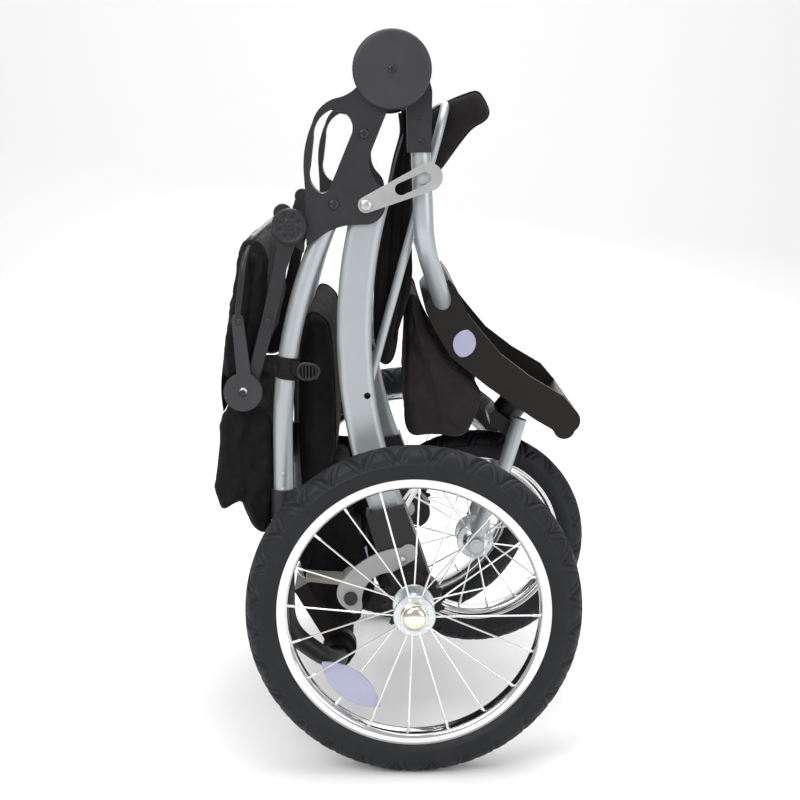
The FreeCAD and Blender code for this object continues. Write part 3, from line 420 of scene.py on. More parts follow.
def make_piece(name: str, surfaces: list[Surface | Facets], finish: Finish, body: str | None,
               stands_for: tuple[str, ...] = (), crease: float = 38.0) -> bpy.types.Object:
    """Make one mesh object from surfaces, dress it and let it ride on a body.

    Args:
        name: Name of the piece.
        surfaces: Its grids and facets, in millimetres.
        finish: Its finish.
        body: CAD body that it rides on, or None.
        stands_for: CAD nodes that it replaces.
        crease: Angle in degrees past which an edge looks sharp.

    Returns:
        The object.
    """
    points, faces, places, first = [], [], [], 0
    for surface in surfaces:
        own = surface.points.reshape(-1, 3)
        new_faces, new_places = surface.shell(first)
        points.append(own)
        faces += new_faces
        places.append(new_places)
        first += len(own)
    mesh = bpy.data.meshes.new(name)
    mesh.from_pydata(metres(np.vstack(points)), [], faces)
    unrolled = mesh.uv_layers.new(name="Unrolled")
    unrolled.data.foreach_set("uv", np.vstack(places).astype(np.float32).ravel())
    tidy_mesh(mesh)
    return finish_piece(bpy.data.objects.new(name, mesh), finish, body, stands_for, crease)


def tidy_mesh(mesh: bpy.types.Mesh) -> None:
    """Merge double points and turn all faces outwards.

    Args:
        mesh: The mesh, changed in place.
    """
    work = bmesh.new()
    work.from_mesh(mesh)
    bmesh.ops.remove_doubles(work, verts=work.verts, dist=2e-6)
    bmesh.ops.dissolve_degenerate(work, edges=work.edges, dist=1e-7)
    bmesh.ops.recalc_face_normals(work, faces=work.faces)
    work.to_mesh(mesh)
    work.free()


def finish_piece(piece: bpy.types.Object, finish: Finish, body: str | None, stands_for: tuple[str, ...],
                 crease: float) -> bpy.types.Object:
    """Shade, dress and place a new object, and report it.

    Args:
        piece: The object.
        finish: Its finish.
        body: CAD body that it rides on, or None.
        stands_for: CAD nodes that it replaces.
        crease: Angle in degrees past which an edge looks sharp.

    Returns:
        The same object.
    """
    bpy.context.scene.collection.objects.link(piece)
    mesh = piece.data
    mesh.polygons.foreach_set("use_smooth", np.ones(len(mesh.polygons), bool))
    mesh.set_sharp_from_angle(angle=math.radians(crease))
    mesh.materials.clear()
    mesh.materials.append(finish.material())
    if body:
        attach(piece, body)
    if stands_for:
        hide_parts(*stands_for)
    log.info("%s: %d faces, %s", piece.name, len(mesh.polygons), finish.name)
    return piece


def soften(node: str, finish: Finish, body: str, width: float = 0.8, angle: float = 32.0) -> bpy.types.Object:
    """Copy a CAD node, merge its triangles into flat faces and round its edges, and show that instead.

    Args:
        node: The CAD node.
        finish: Its finish.
        body: The body that it rides on.
        width: Width of the rounding, in millimetres.
        angle: Angle in degrees past which an edge is rounded.

    Returns:
        The new object.
    """
    mesh = frame["nodes"][node].data.copy()
    mesh.name = node + "_rounded"
    work = bmesh.new()
    work.from_mesh(mesh)
    bmesh.ops.remove_doubles(work, verts=work.verts, dist=1e-5)
    bmesh.ops.dissolve_limit(work, angle_limit=math.radians(1.0), verts=work.verts, edges=work.edges)
    work.to_mesh(mesh)
    work.free()
    piece = bpy.data.objects.new(node + "_rounded", mesh)
    rounding = piece.modifiers.new("EdgeRounding", "BEVEL")
    rounding.width, rounding.segments = width / 1000.0, 2
    rounding.limit_method, rounding.angle_limit = "ANGLE", math.radians(angle)
    rounding.use_clamp_overlap, rounding.harden_normals = True, True
    return finish_piece(piece, finish, body, (node,), angle)


def pipe(path: Array, radius: float | Array, sides: int = 18, up: tuple[float, float, float] = (0, 1, 0),
         loop: bool = False, caps: tuple[bool, bool] = (True, True)) -> Surface:
    """Tube along a path: each ring is p + r (a cos t + b sin t), with a square to the path and to up.

    Args:
        path: Points of the path.
        radius: One radius, or one for each point.
        sides: Points round the tube.
        up: A direction that the path never runs along.
        loop: Whether the path closes on itself.
        caps: Whether the start and the end are closed.

    Returns:
        The tube.
    """
    along = (np.roll(path, -1, axis=0) - np.roll(path, 1, axis=0)) if loop else np.gradient(path, axis=0)
    along = unit(along)
    a = unit(np.cross(along, np.asarray(up, float)))
    b = np.cross(along, a)
    turn = np.linspace(0, 2 * math.pi, sides, endpoint=False)
    reach = np.broadcast_to(np.asarray(radius, float), (len(path),))[:, None, None]
    ring = a[:, None] * np.cos(turn)[:, None] + b[:, None] * np.sin(turn)[:, None]
    return Surface(path[:, None] + reach * ring, loop=loop, caps=caps)


def band(path: Array, across: tuple[float, float, float], width: float | Array, thick: float,
         loop: bool = False) -> Surface:
    """Flat strap along a path: a rounded oblong, width across and thick square to the path.

    Args:
        path: Points of the strap's middle.
        across: Direction of its width.
        width: Its width, or one for each point.
        thick: Its thickness.
        loop: Whether it closes on itself.

    Returns:
        The strap.
    """
    along = (np.roll(path, -1, axis=0) - np.roll(path, 1, axis=0)) if loop else np.gradient(path, axis=0)
    wide = np.asarray(across, float)
    off = unit(np.cross(along, wide))
    turn = np.linspace(0, 2 * math.pi, 20, endpoint=False)
    c, s = np.cos(turn), np.sin(turn)
    flat, edge = np.sign(c) * np.abs(c) ** 0.25, np.sign(s) * np.abs(s) ** 0.6
    half = np.broadcast_to(np.asarray(width, float), (len(path),))[:, None, None] / 2
    points = path[:, None] + half * wide * flat[:, None] + off[:, None] * edge[:, None] * thick / 2
    return Surface(points, loop=loop)


def turned(profile: Pairs, centre: tuple[float, float, float], side: float, steps: int = 96,
           closed: bool = False) -> Surface:
    """Turn a profile about a wheel-wise axis: point = centre + (r cos t, side * reach, r sin t).

    Args:
        profile: Pairs of radius and reach.
        centre: Point on the axis.
        side: 1 or -1, the way that reach counts.
        steps: Points round the turn.
        closed: Whether the profile closes on itself.

    Returns:
        The turned surface.
    """
    line = np.asarray(profile, float)
    turn = np.linspace(0, 2 * math.pi, steps, endpoint=False)
    r, reach = line[:, :1], line[:, 1:]
    points = np.stack([r * np.cos(turn), np.broadcast_to(side * reach, (len(line), steps)),
                       r * np.sin(turn)], axis=2)
    return Surface(points + np.asarray(centre, float), loop=closed)


def slab(outline: Array | Pairs, y_low: float, y_high: float, bevel: float = 0.6) -> Surface:
    """Plate between two planes, its outline drawn in by the bevel at both faces.

    Args:
        outline: Closed (x, z) outline.
        y_low: Lower y of the plate.
        y_high: Higher y of the plate.
        bevel: Size of the bevel.

    Returns:
        The plate's surface, whose rows are the outline at four heights.
    """
    line = np.asarray(outline, float)
    inner = line + inward(line) * bevel
    rows = [(inner, y_low), (line, y_low + bevel), (line, y_high - bevel), (inner, y_high)]
    return Surface(np.stack([in_plane(flat, y) for flat, y in rows]))


def inward(line: Array) -> Array:
    """Unit directions that point into a closed (x, z) outline, whichever way it runs."""
    along = unit(np.roll(line, -1, axis=0) - np.roll(line, 1, axis=0))
    area = np.sum(line[:, 0] * np.roll(line[:, 1], -1) - np.roll(line[:, 0], -1) * line[:, 1])
    return np.stack([-along[:, 1], along[:, 0]], axis=1) * (1.0 if area > 0 else -1.0)


def polar_face(centre: tuple[float, float, float], side: float, profile: Pairs, cut: float = 0.0,
               slot_width: float = 1.0, steps: int = 48) -> Surface:
    """Round head on a wheel-wise axis, with a cross or a plain face.

    A point at radius r and angle t stands side * reach(r) out, less the cut where the smaller of
    |r cos t| and |r sin t| is under half the slot's width and r is under 0.6 of the head's radius.

    Args:
        centre: Foot of the head on its axis.
        side: The way that it faces.
        profile: Pairs of radius and reach, from the middle outwards.
        cut: Depth of the cross.
        slot_width: Width of the cross's slots.
        steps: Points round the head.

    Returns:
        The head.
    """
    line = spaced(np.asarray(profile, float), 26)
    turn = np.linspace(0, 2 * math.pi, steps, endpoint=False)
    r, reach = line[:, :1], np.repeat(line[:, 1:], steps, axis=1)
    x, z = r * np.cos(turn), r * np.sin(turn)
    near = np.minimum(np.abs(x), np.abs(z))
    inside = 1 / (1 + np.exp((near - slot_width / 2) * 9)) / (1 + np.exp((r - 0.6 * line[:, 0].max()) * 9))
    points = np.stack([x, side * (reach - cut * inside), z], axis=2)
    return Surface(points + np.asarray(centre, float))


def many_pipes(paths: Array, radii: Array, sides: int = 8) -> Facets:
    """Many alike rods at once, each ring set square to the rod's own run.

    Args:
        paths: Points, as rods by rings by three.
        radii: One radius for each ring.
        sides: Points round each rod.

    Returns:
        All the rods' side faces and their ends.
    """
    count, rings = paths.shape[:2]
    along = unit(paths[:, -1] - paths[:, 0])
    other = np.where(np.abs(along[:, 1:2]) > 0.8, (1.0, 0.0, 0.0), (0.0, 1.0, 0.0))
    a = unit(np.cross(along, other))
    b = np.cross(along, a)
    turn = np.linspace(0, 2 * math.pi, sides, endpoint=False)
    ring = a[:, None, None] * np.cos(turn)[:, None] + b[:, None, None] * np.sin(turn)[:, None]
    points = paths[:, :, None] + ring * radii[None, :, None, None]
    i, j, k = np.meshgrid(np.arange(count), np.arange(rings - 1), np.arange(sides), indexing="ij")
    corner = [(i * rings + j) * sides + k, (i * rings + j + 1) * sides + k,
              (i * rings + j + 1) * sides + (k + 1) % sides, (i * rings + j) * sides + (k + 1) % sides]
    return Facets(points.reshape(-1, 3), np.stack(corner, axis=-1).reshape(-1, 4))


def stitches(path: Array, pitch: float = 4.2, length: float = 2.7, radius: float = 0.4) -> Facets:
    """Short rods of thread laid end to end along a path, thinner at their ends.

    Args:
        path: Points of the seam.
        pitch: Distance from stitch to stitch.
        length: Length of a stitch.
        radius: Half the thread's thickness.

    Returns:
        The stitches.
    """
    whole = np.linalg.norm(np.diff(path, axis=0), axis=1).sum()
    line = spaced(path, max(3, int(whole / pitch)))
    along = unit(np.gradient(line, axis=0))
    steps = np.array([-0.5, -0.42, 0.42, 0.5]) * length
    thread = line[:, None] + along[:, None] * steps[:, None]
    return many_pipes(thread, radius * np.array([0.05, 1, 1, 0.05]), 6)


@dataclass(frozen=True)
class Wrinkle:
    """A family of folds: a wave along one direction whose crests wander and fade.

    Attributes:
        depth: Height of the crests, in millimetres.
        pitch: Distance from crest to crest, in millimetres.
        lean: Angle of the wave's direction, in degrees.
        wander: How far the crests bend to and fro.
        seed: Shift that sets one family apart from another.
        sharp: How narrow the crests are.
    """

    depth: float
    pitch: float
    lean: float = 0.0
    wander: float = 1.2
    seed: float = 1.0
    sharp: float = 1.0

    def height(self, u: Array, v: Array) -> Array:
        """Height at (u, v): depth * (0.5 + 0.5 sin phase)^sharp, faded by two slow waves.

        Args:
            u: Distance along the piece.
            v: Distance across it.

        Returns:
            The heights, in millimetres.
        """
        lean = math.radians(self.lean)
        s, t = u * math.cos(lean) + v * math.sin(lean), v * math.cos(lean) - u * math.sin(lean)
        wave = 2 * math.pi / self.pitch
        slow, quick = wave * t / 3.1 + self.seed, wave * t / 1.4 + 2.3 * self.seed
        bend = self.wander * (np.sin(slow) + 0.6 * np.sin(quick))
        crest = (0.5 + 0.5 * np.sin(wave * s + bend + 1.9 * self.seed)) ** self.sharp
        fade = 0.6 + 0.4 * np.sin(wave * t / 4.7 + 1.3 * self.seed) * np.sin(wave * s / 3.7 + self.seed)
        return self.depth * crest * fade


@dataclass
class SoftForm:
    """A soft body carried across the stroller: an outline whose ends close on its middle line.

    Across the width the outline keeps its size; within edge of each end it draws in along a quarter
    circle, and the end faces close towards the middle line while they bulge by puff.
    """

    outline: Pairs
    middle: Pairs
    half: float
    edge: float = 7.0
    puff: float = 3.0
    wrinkles: tuple[Wrinkle, ...] = ()
    side_wrinkles: tuple[Wrinkle, ...] = ()
    crown: float = 0.0
    count: int = 220
    rows: int = 46

    def line(self) -> Array:
        """The outline, rounded and evenly spaced."""
        return spaced(eased(self.outline, 3, closed=True), self.count, closed=True)

    def surface(self) -> Surface:
        """Work out the whole closed surface.

        Returns:
            The surface, its rows running from the right side to the left.
        """
        line = self.line()
        into, core = inward(line), self._core(line)
        turn = np.linspace(0, math.pi / 2, 8)
        close = np.linspace(0, 0.93, 9)[1:]
        span = np.linspace(-1, 1, self.rows)
        flat, y = [], []
        for share in close[::-1]:
            start = line + into * self.edge
            flat.append(start + (core - start) * share)
            y.append(-self.half - self.puff * math.sin(share * math.pi / 2))
        for t in turn[::-1][:-1]:
            flat.append(line + into * self.edge * (1 - math.cos(t)))
            y.append(-self.half + self.edge * (1 - math.sin(t)))
        for s in span:
            flat.append(line - into * self.crown * (1 - s ** 4))
            y.append(s * (self.half - self.edge))
        for t in turn[1:]:
            flat.append(line + into * self.edge * (1 - math.cos(t)))
            y.append(self.half - self.edge * (1 - math.sin(t)))
        for share in close:
            start = line + into * self.edge
            flat.append(start + (core - start) * share)
            y.append(self.half + self.puff * math.sin(share * math.pi / 2))
        points = np.stack([in_plane(row, height) for row, height in zip(flat, y)])
        return Surface(self._wrinkled(points))

    def _core(self, line: Array) -> Array:
        """The nearest point of the middle line for each point of the outline.

        Args:
            line: The outline.

        Returns:
            A smoothed row of points on the middle line.
        """
        middle = spaced(np.asarray(self.middle, float), 160)
        nearest = np.argmin(np.linalg.norm(line[:, None] - middle[None], axis=2), axis=1)
        core = middle[nearest]
        smooth = np.stack([np.convolve(np.pad(core[:, k], 6, mode="wrap"), np.ones(13) / 13, "valid")
                           for k in range(2)], axis=1)
        return smooth

    def _wrinkled(self, points: Array) -> Array:
        """Move each point out along its normal by the height of the folds there.

        Args:
            points: Grid of points of the form.

        Returns:
            The grid with its folds.
        """
        down = np.gradient(points, axis=0)
        across = np.roll(points, -1, axis=1) - np.roll(points, 1, axis=1)
        normals = unit(np.cross(down, across))
        middle = points[len(points) // 2]
        outwards = np.sum(normals[len(points) // 2] * (middle - middle.mean(axis=0)), axis=1).mean()
        normals *= 1.0 if outwards > 0 else -1.0
        sideways = np.clip((np.abs(points[..., 1]) - self.half + self.edge) / self.edge, 0, 1)
        u, v = points[..., 2], points[..., 0] + 0.8 * points[..., 1] * (1 - sideways)
        body = sum((w.height(u, v) for w in self.wrinkles), np.zeros(u.shape))
        ends = sum((w.height(points[..., 2], points[..., 0]) for w in self.side_wrinkles), np.zeros(u.shape))
        height = body * (1 - sideways) + ends * sideways - self.edge * 0.12
        return points + normals * height[..., None]

    def piping(self, y: float, radius: float = 0.9, lift: float = 0.3) -> Surface:
        """Corded seam round the outline at y.

        Args:
            y: Plane of the seam.
            radius: Half the cord's thickness.
            lift: How far it stands out of the outline.

        Returns:
            The cord's surface.
        """
        line = self.line()
        return pipe(in_plane(line - inward(line) * lift, y), radius, 8, loop=True)


def declare_cloth(piece: bpy.types.Object, trim: list, thick: float = 1.2) -> None:
    """Give a cloth piece its thickness.

    Args:
        piece: The cloth.
        trim: Pieces that go with it; not used.
        thick: Thickness of the cloth, in millimetres.
    """
    wall = piece.modifiers.new("ClothThickness", "SOLIDIFY")
    wall.thickness, wall.offset = thick / 1000.0, -1.0


def body_name(node: str) -> str:
    """Name of the CAD body that a node belongs to."""
    return frame["nodes"][node].parent.name.removeprefix("body:")


def box_unrolled(mesh: bpy.types.Mesh) -> None:
    """Lay a mesh's faces out flat, each along the two axes that it faces least.

    A face that looks mostly along y is laid by (x, z), one along x by (y, z) and one along z by (x, y).

    Args:
        mesh: The mesh that gets the layer.
    """
    loops = np.zeros(len(mesh.loops), int)
    mesh.loops.foreach_get("vertex_index", loops)
    places = np.zeros(len(mesh.vertices) * 3)
    mesh.vertices.foreach_get("co", places)
    normals = np.zeros(len(mesh.polygons) * 3)
    mesh.polygons.foreach_get("normal", normals)
    sizes = np.zeros(len(mesh.polygons), int)
    mesh.polygons.foreach_get("loop_total", sizes)
    facing = np.repeat(np.argmax(np.abs(normals.reshape(-1, 3)), axis=1), sizes)
    corner = places.reshape(-1, 3)[loops]
    pick = np.array([[1, 2], [0, 2], [0, 1]])[facing]
    flat = np.take_along_axis(corner, pick, axis=1)
    layer = mesh.uv_layers.get("Unrolled") or mesh.uv_layers.new(name="Unrolled")
    layer.data.foreach_set("uv", flat.astype(np.float32).ravel())


@dataclass(frozen=True)
class Stuffing:
    """How a cushion is filled: its tacked seams hold while the cloth between them swells."""

    swell: float = 6.0
    pressure: float = 4.0
    voxel: float = 5.0
    seam_width: float = 3.0
    rows: tuple[float, ...] = ()
    columns: tuple[float, ...] = ()
    frames: int = 18

    def fill(self, piece: bpy.types.Object) -> None:
        """Swell a closed piece by a short cloth simulation, no point moving further than swell.

        Args:
            piece: The cushion, which keeps its name, material and body.
        """
        scene = bpy.context.scene
        even = piece.modifiers.new("EvenFaces", "REMESH")
        even.mode, even.voxel_size = "VOXEL", self.voxel / 1000.0
        self._take(piece)
        before = self._points(piece.data)
        tacked = piece.vertex_groups.new(name="Tacked")
        place = before * 1000.0 - (AXLE_X, 0.0, 0.0)
        near = np.zeros(len(place), bool)
        for row in self.rows:
            near |= np.abs(place[:, 2] - row) < self.seam_width
        for column in self.columns:
            near |= np.abs(place[:, 1] - column) < self.seam_width
        tacked.add(np.flatnonzero(near).tolist(), 1.0, "REPLACE")
        cloth = piece.modifiers.new("Stuffing", "CLOTH")
        rules = cloth.settings
        rules.use_pressure, rules.uniform_pressure_force = True, self.pressure
        rules.effector_weights.gravity = 0.0
        rules.mass, rules.quality, rules.vertex_group_mass = 0.3, 4, "Tacked"
        rules.tension_stiffness = rules.compression_stiffness = 12.0
        rules.bending_stiffness = 0.4
        cloth.point_cache.frame_end = self.frames
        for number in range(1, self.frames + 1):
            scene.frame_set(number)
        self._take(piece)
        move = self._points(piece.data) - before
        reach = np.linalg.norm(move, axis=1, keepdims=True)
        limit = self.swell / 1000.0
        move *= limit * np.tanh(reach / limit) / np.maximum(reach, 1e-9)
        piece.data.vertices.foreach_set("co", (before + move).ravel())
        piece.data.update()
        scene.frame_set(1)
        box_unrolled(piece.data)
        piece.data.polygons.foreach_set("use_smooth", np.ones(len(piece.data.polygons), bool))
        log.info("%s: filled, moved %.1f mm at most", piece.name, np.linalg.norm(move, axis=1).max() * 1000)

    @staticmethod
    def _points(mesh: bpy.types.Mesh) -> Array:
        """Vertex places of a mesh, in metres."""
        flat = np.zeros(len(mesh.vertices) * 3)
        mesh.vertices.foreach_get("co", flat)
        return flat.reshape(-1, 3)

    @staticmethod
    def _take(piece: bpy.types.Object) -> None:
        """Turn a piece's modifiers into its mesh."""
        shown = piece.evaluated_get(bpy.context.evaluated_depsgraph_get())
        mesh = bpy.data.meshes.new_from_object(shown)
        piece.modifiers.clear()
        piece.data = mesh


@dataclass(frozen=True)
class Tread:
    """A tyre's pattern: scales that meet at a ring on the shoulder, and ribs on the side wall.

    With w the share of the way from crown to shoulder and f the place within one repeat, from -0.5
    to 0.5, the main groove follows |f| = 0.5 sqrt(w) and a finer one runs inside it.
    """

    repeats: int = 28
    shoulder: float = 1.3
    groove: float = 3.3
    width: float = 1.8

    def height(self, t: Array, s: Array, outer: float, section: float) -> Array:
        """Height of the rubber at turn t and section angle s.

        Args:
            t: Angle round the axle.
            s: Angle round the section, 0 at the crown.
            outer: Outer radius of the tyre.
            section: Radius of its section.

        Returns:
            Heights, in millimetres.
        """
        w = np.abs(s) / self.shoulder
        pitch = 2 * math.pi * outer / self.repeats
        f = (self.repeats * t / (2 * math.pi) + np.where(s < 0, 0.5, 0.0)) % 1.0 - 0.5
        scale = 0.5 * np.sqrt(np.minimum(w, 1.0))
        fade = 1 / (1 + np.exp((w - 1.0) * 40))
        main = np.exp(-((np.abs(f) - scale) * pitch * 0.75 / self.width) ** 2)
        fine = np.exp(-((np.abs(f) - scale + 0.2) * pitch * 0.75 / (0.6 * self.width)) ** 2)
        height = -self.groove * fade * np.maximum(main, 0.55 * fine * (scale > 0.21))
        leaf = np.exp(-((w - 0.95) / 0.09) ** 2) * np.cos(math.pi * f) ** 2
        ring = np.exp(-((np.abs(s) - self.shoulder * 1.05) * section / 0.9) ** 2)
        height -= 0.9 * leaf + 0.7 * ring
        for rib in (1.66, 1.8, 1.94):
            height += 0.45 * np.exp(-((np.abs(s) - rib) * section / 0.75) ** 2)
        return height

    def surface(self, centre: Array, outer: float, section: float, turns: int) -> Surface:
        """Make the tyre: point = R + (section + h) cos s outwards and (section + h) sin s aside.

        Args:
            centre: Middle of the wheel.
            outer: Outer radius.
            section: Radius of the tyre's own section.
            turns: Number of points round the wheel.

        Returns:
            The tyre's surface.
        """
        share = np.linspace(0, 1, 96, endpoint=False)
        s = np.interp(share, [0, 0.04, 0.15, 0.21, 0.79, 0.85, 0.96, 1],
                      [-math.pi, -2.1, -1.6, -1.42, 1.42, 1.6, 2.1, math.pi])
        t, s = np.meshgrid(np.linspace(0, 2 * math.pi, turns, endpoint=False), s, indexing="ij")
        rise = section + self.height(t, s, outer, section)
        reach = outer - section + rise * np.cos(s)
        points = np.stack([reach * np.cos(t), rise * np.sin(s), reach * np.sin(t)], axis=2)
        return Surface(points + centre, loop=True)


@dataclass
class Wheel:
    """One spoked wheel: tyre, rim, radial spokes and hub."""

    suffix: str
    centre: tuple[float, float, float]
    side: int
    outer: float = 200.0
    section: float = 22.0
    rim_low: float = 149.0
    spokes: int = 20
    hub_half: float = 30.0
    turns: int = 960
    tread: Tread = field(default_factory=Tread)

    def build(self) -> None:
        """Make the wheel's pieces."""
        body = body_name("rim_" + self.suffix)
        middle = np.asarray(self.centre, float)
        tyre = self.tread.surface(middle, self.outer, self.section, self.turns)
        make_piece("tyre_tread_" + self.suffix, [tyre], RUBBER, body, ("tyre_" + self.suffix,), 60)
        self._rim(body)
        self._spokes(body, middle)
        self._hub(body)

    def _rim(self, body: str) -> None:
        """Hollow chromed rim with a rolled lip, from a closed profile.

        Args:
            body: Body that the rim turns with.
        """
        half = [(0.0, 0.0), (0.2, 6.0), (1.2, 10.5), (3.5, 13.4), (7.0, 14.3), (11.2, 14.5), (13.6, 15.4),
                (15.0, 15.0), (15.0, 14.0), (13.0, 13.2), (9.0, 12.2), (6.0, 9.5), (4.8, 5.0), (4.6, 0.0)]
        line = [(self.rim_low + r, y) for r, y in half]
        line += [(self.rim_low + r, -y) for r, y in half[-2:0:-1]]
        profile = eased(line, 2, closed=True)
        make_piece("rim_chromed_" + self.suffix,
                   [turned(profile, self.centre, self.side, 240, closed=True)], CHROME, body,
                   ("rim_" + self.suffix,), 50)

    def _spokes(self, body: str, middle: Array) -> None:
        """Radial spokes with their nipples at the rim and their heads in the flanges.

        Args:
            body: Body that they turn with.
            middle: Middle of the wheel.
        """
        index = np.arange(self.spokes)
        angle = np.radians(SPOKE_TURN) + 2 * math.pi * index / self.spokes
        way = np.stack([np.cos(angle), np.zeros(self.spokes), np.sin(angle)], axis=1)
        flange = np.where(index % 2, 1.0, -1.0)[:, None] * np.array([0.0, 1.0, 0.0])
        near, far, root, head = self.hub_half - 8.0, 2.0, 26.0, 20.6

        def along(radii: list[float]) -> Array:
            """Points at these radii on every spoke, which draws in from its flange to the rim."""
            share = (np.asarray(radii) - root) / (self.rim_low + 0.6 - root)
            side = near + (far - near) * np.clip(share, 0, 1)
            return (middle + way[:, None] * np.asarray(radii)[:, None] + flange[:, None] * side[:, None])

        rods = along([head, root, 80.0, self.rim_low - 6.0])
        ends = along([self.rim_low - 9.0, self.rim_low - 8.0, self.rim_low - 1.5, self.rim_low + 0.8])
        heads = middle + way[:, None] * head + flange[:, None] * (near + np.array([-1.0, 3.6, 4.4]))[:, None]
        pieces = [many_pipes(rods, np.full(4, 1.1), 8),
                  many_pipes(ends, np.array([1.2, 1.75, 1.75, 2.3]), 10),
                  many_pipes(heads, np.array([1.8, 1.8, 0.3]), 10)]
        make_piece("spokes_laced_" + self.suffix, pieces, SPOKE, body, ("spokes_" + self.suffix,))

    def _hub(self, body: str) -> None:
        """Flanged hub barrel, with a domed cap on a rear wheel's outer end.

        Args:
            body: Body that the hub turns with.
        """
        h = self.hub_half
        barrel = [(6.1, 3.5 - h - 4), (11.6, -h - 4), (12.3, -h - 3), (12.3, -h + 3), (14.0, -h + 5.4),
                  (24.2, -h + 5.8), (25.0, -h + 6.8), (25.0, -h + 8.8), (24.0, -h + 9.8), (15.0, -h + 11),
                  (11.2, -h + 15), (10.6, 0), (11.2, h - 15), (15.0, h - 11), (24.0, h - 9.8),
                  (25.0, h - 8.8), (25.0, h - 6.8), (24.2, h - 5.8), (17.0, h - 5.0), (16.4, h - 2.0),
                  (12.3, h + 1), (12.0, h + 3.4), (6.1, h + 3.6)]
        make_piece("hub_barrel_" + self.suffix, [turned(barrel, self.centre, self.side, 72)], HUB, body,
                   ("hub_" + self.suffix,), 34)
        if self.suffix.startswith("rear"):
            dome = [(16.4, h - 5), (16.4, h - 0.5), (15.6, h + 0.9), (14.6, h + 0.6), (14.3, h + 0.9),
                    (14.0, h + 3.0), (12.2, h + 5.6), (8.5, h + 7.2), (4.0, h + 7.9), (0.2, h + 8.0)]
            profile = eased(dome, 1)
            make_piece("hub_cap_" + self.suffix, [turned(profile, self.centre, self.side, 64)], CAP, body)


@dataclass
class Moulding:
    """Plastic and metal parts whose rounded copies stand for the plain ones."""

    parts: dict[str, tuple[Finish, float]]

    def build(self) -> None:
        """Round every part's edges."""
        for node, (finish, width) in self.parts.items():
            soften(node, finish, body_name(node), width)


@dataclass(frozen=True)
class Head:
    """One screw or rivet head, alike on both sides.

    Attributes:
        place: Its x, its distance from the middle, and its z.
        scale: Its size, 1 being 10.8 mm across.
        cross: Depth of the cross in its face.
    """

    name: str
    place: tuple[float, float, float]
    scale: float
    body: str
    cross: float = 0.0
    finish: Finish = BLACK_STEEL
    stands_for: tuple[str, ...] = ()
    dome: tuple = ((0.2, 2.6), (3.0, 2.3), (4.8, 1.2), (5.4, 0.0), (5.4, -1.0))

    def build(self) -> None:
        """Make the head on each side of the stroller."""
        x, y, z = self.place
        profile = [(r * self.scale, reach * self.scale) for r, reach in self.dome]
        heads = [polar_face((x, side.value * y, z), side.value, profile, self.cross, 1.5 * self.scale)
                 for side in Side]
        make_piece(self.name, heads, self.finish, self.body, self.stands_for, 50)


HEADS = (
    Head("bracket_screw_upper", (-57.7, 232.4, 756.8), 1.15, "handle_frame", 1.2,
         stands_for=("bracket_fasteners",)),
    Head("bracket_screw_lower", (-93.4, 232.4, 675.1), 1.15, "handle_frame", 1.2),
    Head("leg_pivot_rivet", (-55.7, 236.0, 674.5), 1.3, "handle_frame", finish=STEEL),
    Head("disc_screw", (-25.0, 243.2, 830.0), 0.95, "handle_frame", 1.4),
    Head("sleeve_screw_upper", (8.4, 226.2, 773.5), 0.62, "front_frame", 0.9),
    Head("sleeve_screw_lower", (9.1, 226.2, 748.1), 0.62, "front_frame", 0.9),
    Head("hinge_screw", (-202.5, 242.2, 454.3), 0.9, "canopy_bow", 1.2, STEEL),
    Head("arm_rivet_front", (-206.1, 241.0, 538.0), 0.75, "canopy_bow"),
    Head("arm_rivet_rear", (-172.0, 241.0, 538.5), 0.6, "canopy_base"),
    Head("handle_rivet_upper", (-157.5, 228.8, 350.0), 0.55, "handle_frame", finish=SILVER),
    Head("handle_rivet_lower", (-157.5, 228.8, 331.0), 0.55, "handle_frame", finish=SILVER),
    Head("brake_plate_rivet", (-12.4, 252.3, 249.3), 0.6, "rear_frame", finish=STEEL),
    Head("stub_washer", (0.0, 246.0, 200.0), 1.9, "rear_frame", finish=STEEL),
)


@dataclass
class RatchetDial:
    """Ribbed cap of the canopy's ratchet: radial slots round a screw, inside a raised rim."""

    centre: tuple[float, float] = (-145.7, 650.3)
    radius: float = 21.0
    slots: int = 8

    def face(self, side: Side) -> Surface:
        """Make the cap's face for one side, its height a rim less the slots.

        Args:
            side: Side of the stroller.

        Returns:
            The face.
        """
        r = np.linspace(0.3, self.radius, 44)[:, None]
        t = np.linspace(0, 2 * math.pi, 160, endpoint=False)[None]
        across = np.abs((t * self.slots / (2 * math.pi)) % 1.0 - 0.5) * r * 2 * math.pi / self.slots
        slot = 1 / (1 + np.exp((across - 1.7) * 4)) * np.exp(-((r - 0.58 * self.radius) / 4.0) ** 4)
        rim = 1.2 * np.exp(-((r - 0.88 * self.radius) / 1.4) ** 2)
        edge = -3.0 * np.clip((r - 0.93 * self.radius) / (0.07 * self.radius), 0, 1) ** 2
        reach = 242.0 + 0.8 + rim + edge - 1.8 * slot
        reach = np.broadcast_to(reach, (44, 160))
        x, z = self.centre
        return Surface(np.stack([x + r * np.cos(t), side.value * reach, z + r * np.sin(t)], axis=2))

    def build(self) -> None:
        """Make both caps and their screws."""
        make_piece("ratchet_dials", [self.face(side) for side in Side], PLASTIC, "handle_frame")
        x, z = self.centre
        Head("ratchet_screw", (x, 243.0, z), 0.7, "handle_frame", 1.0).build()


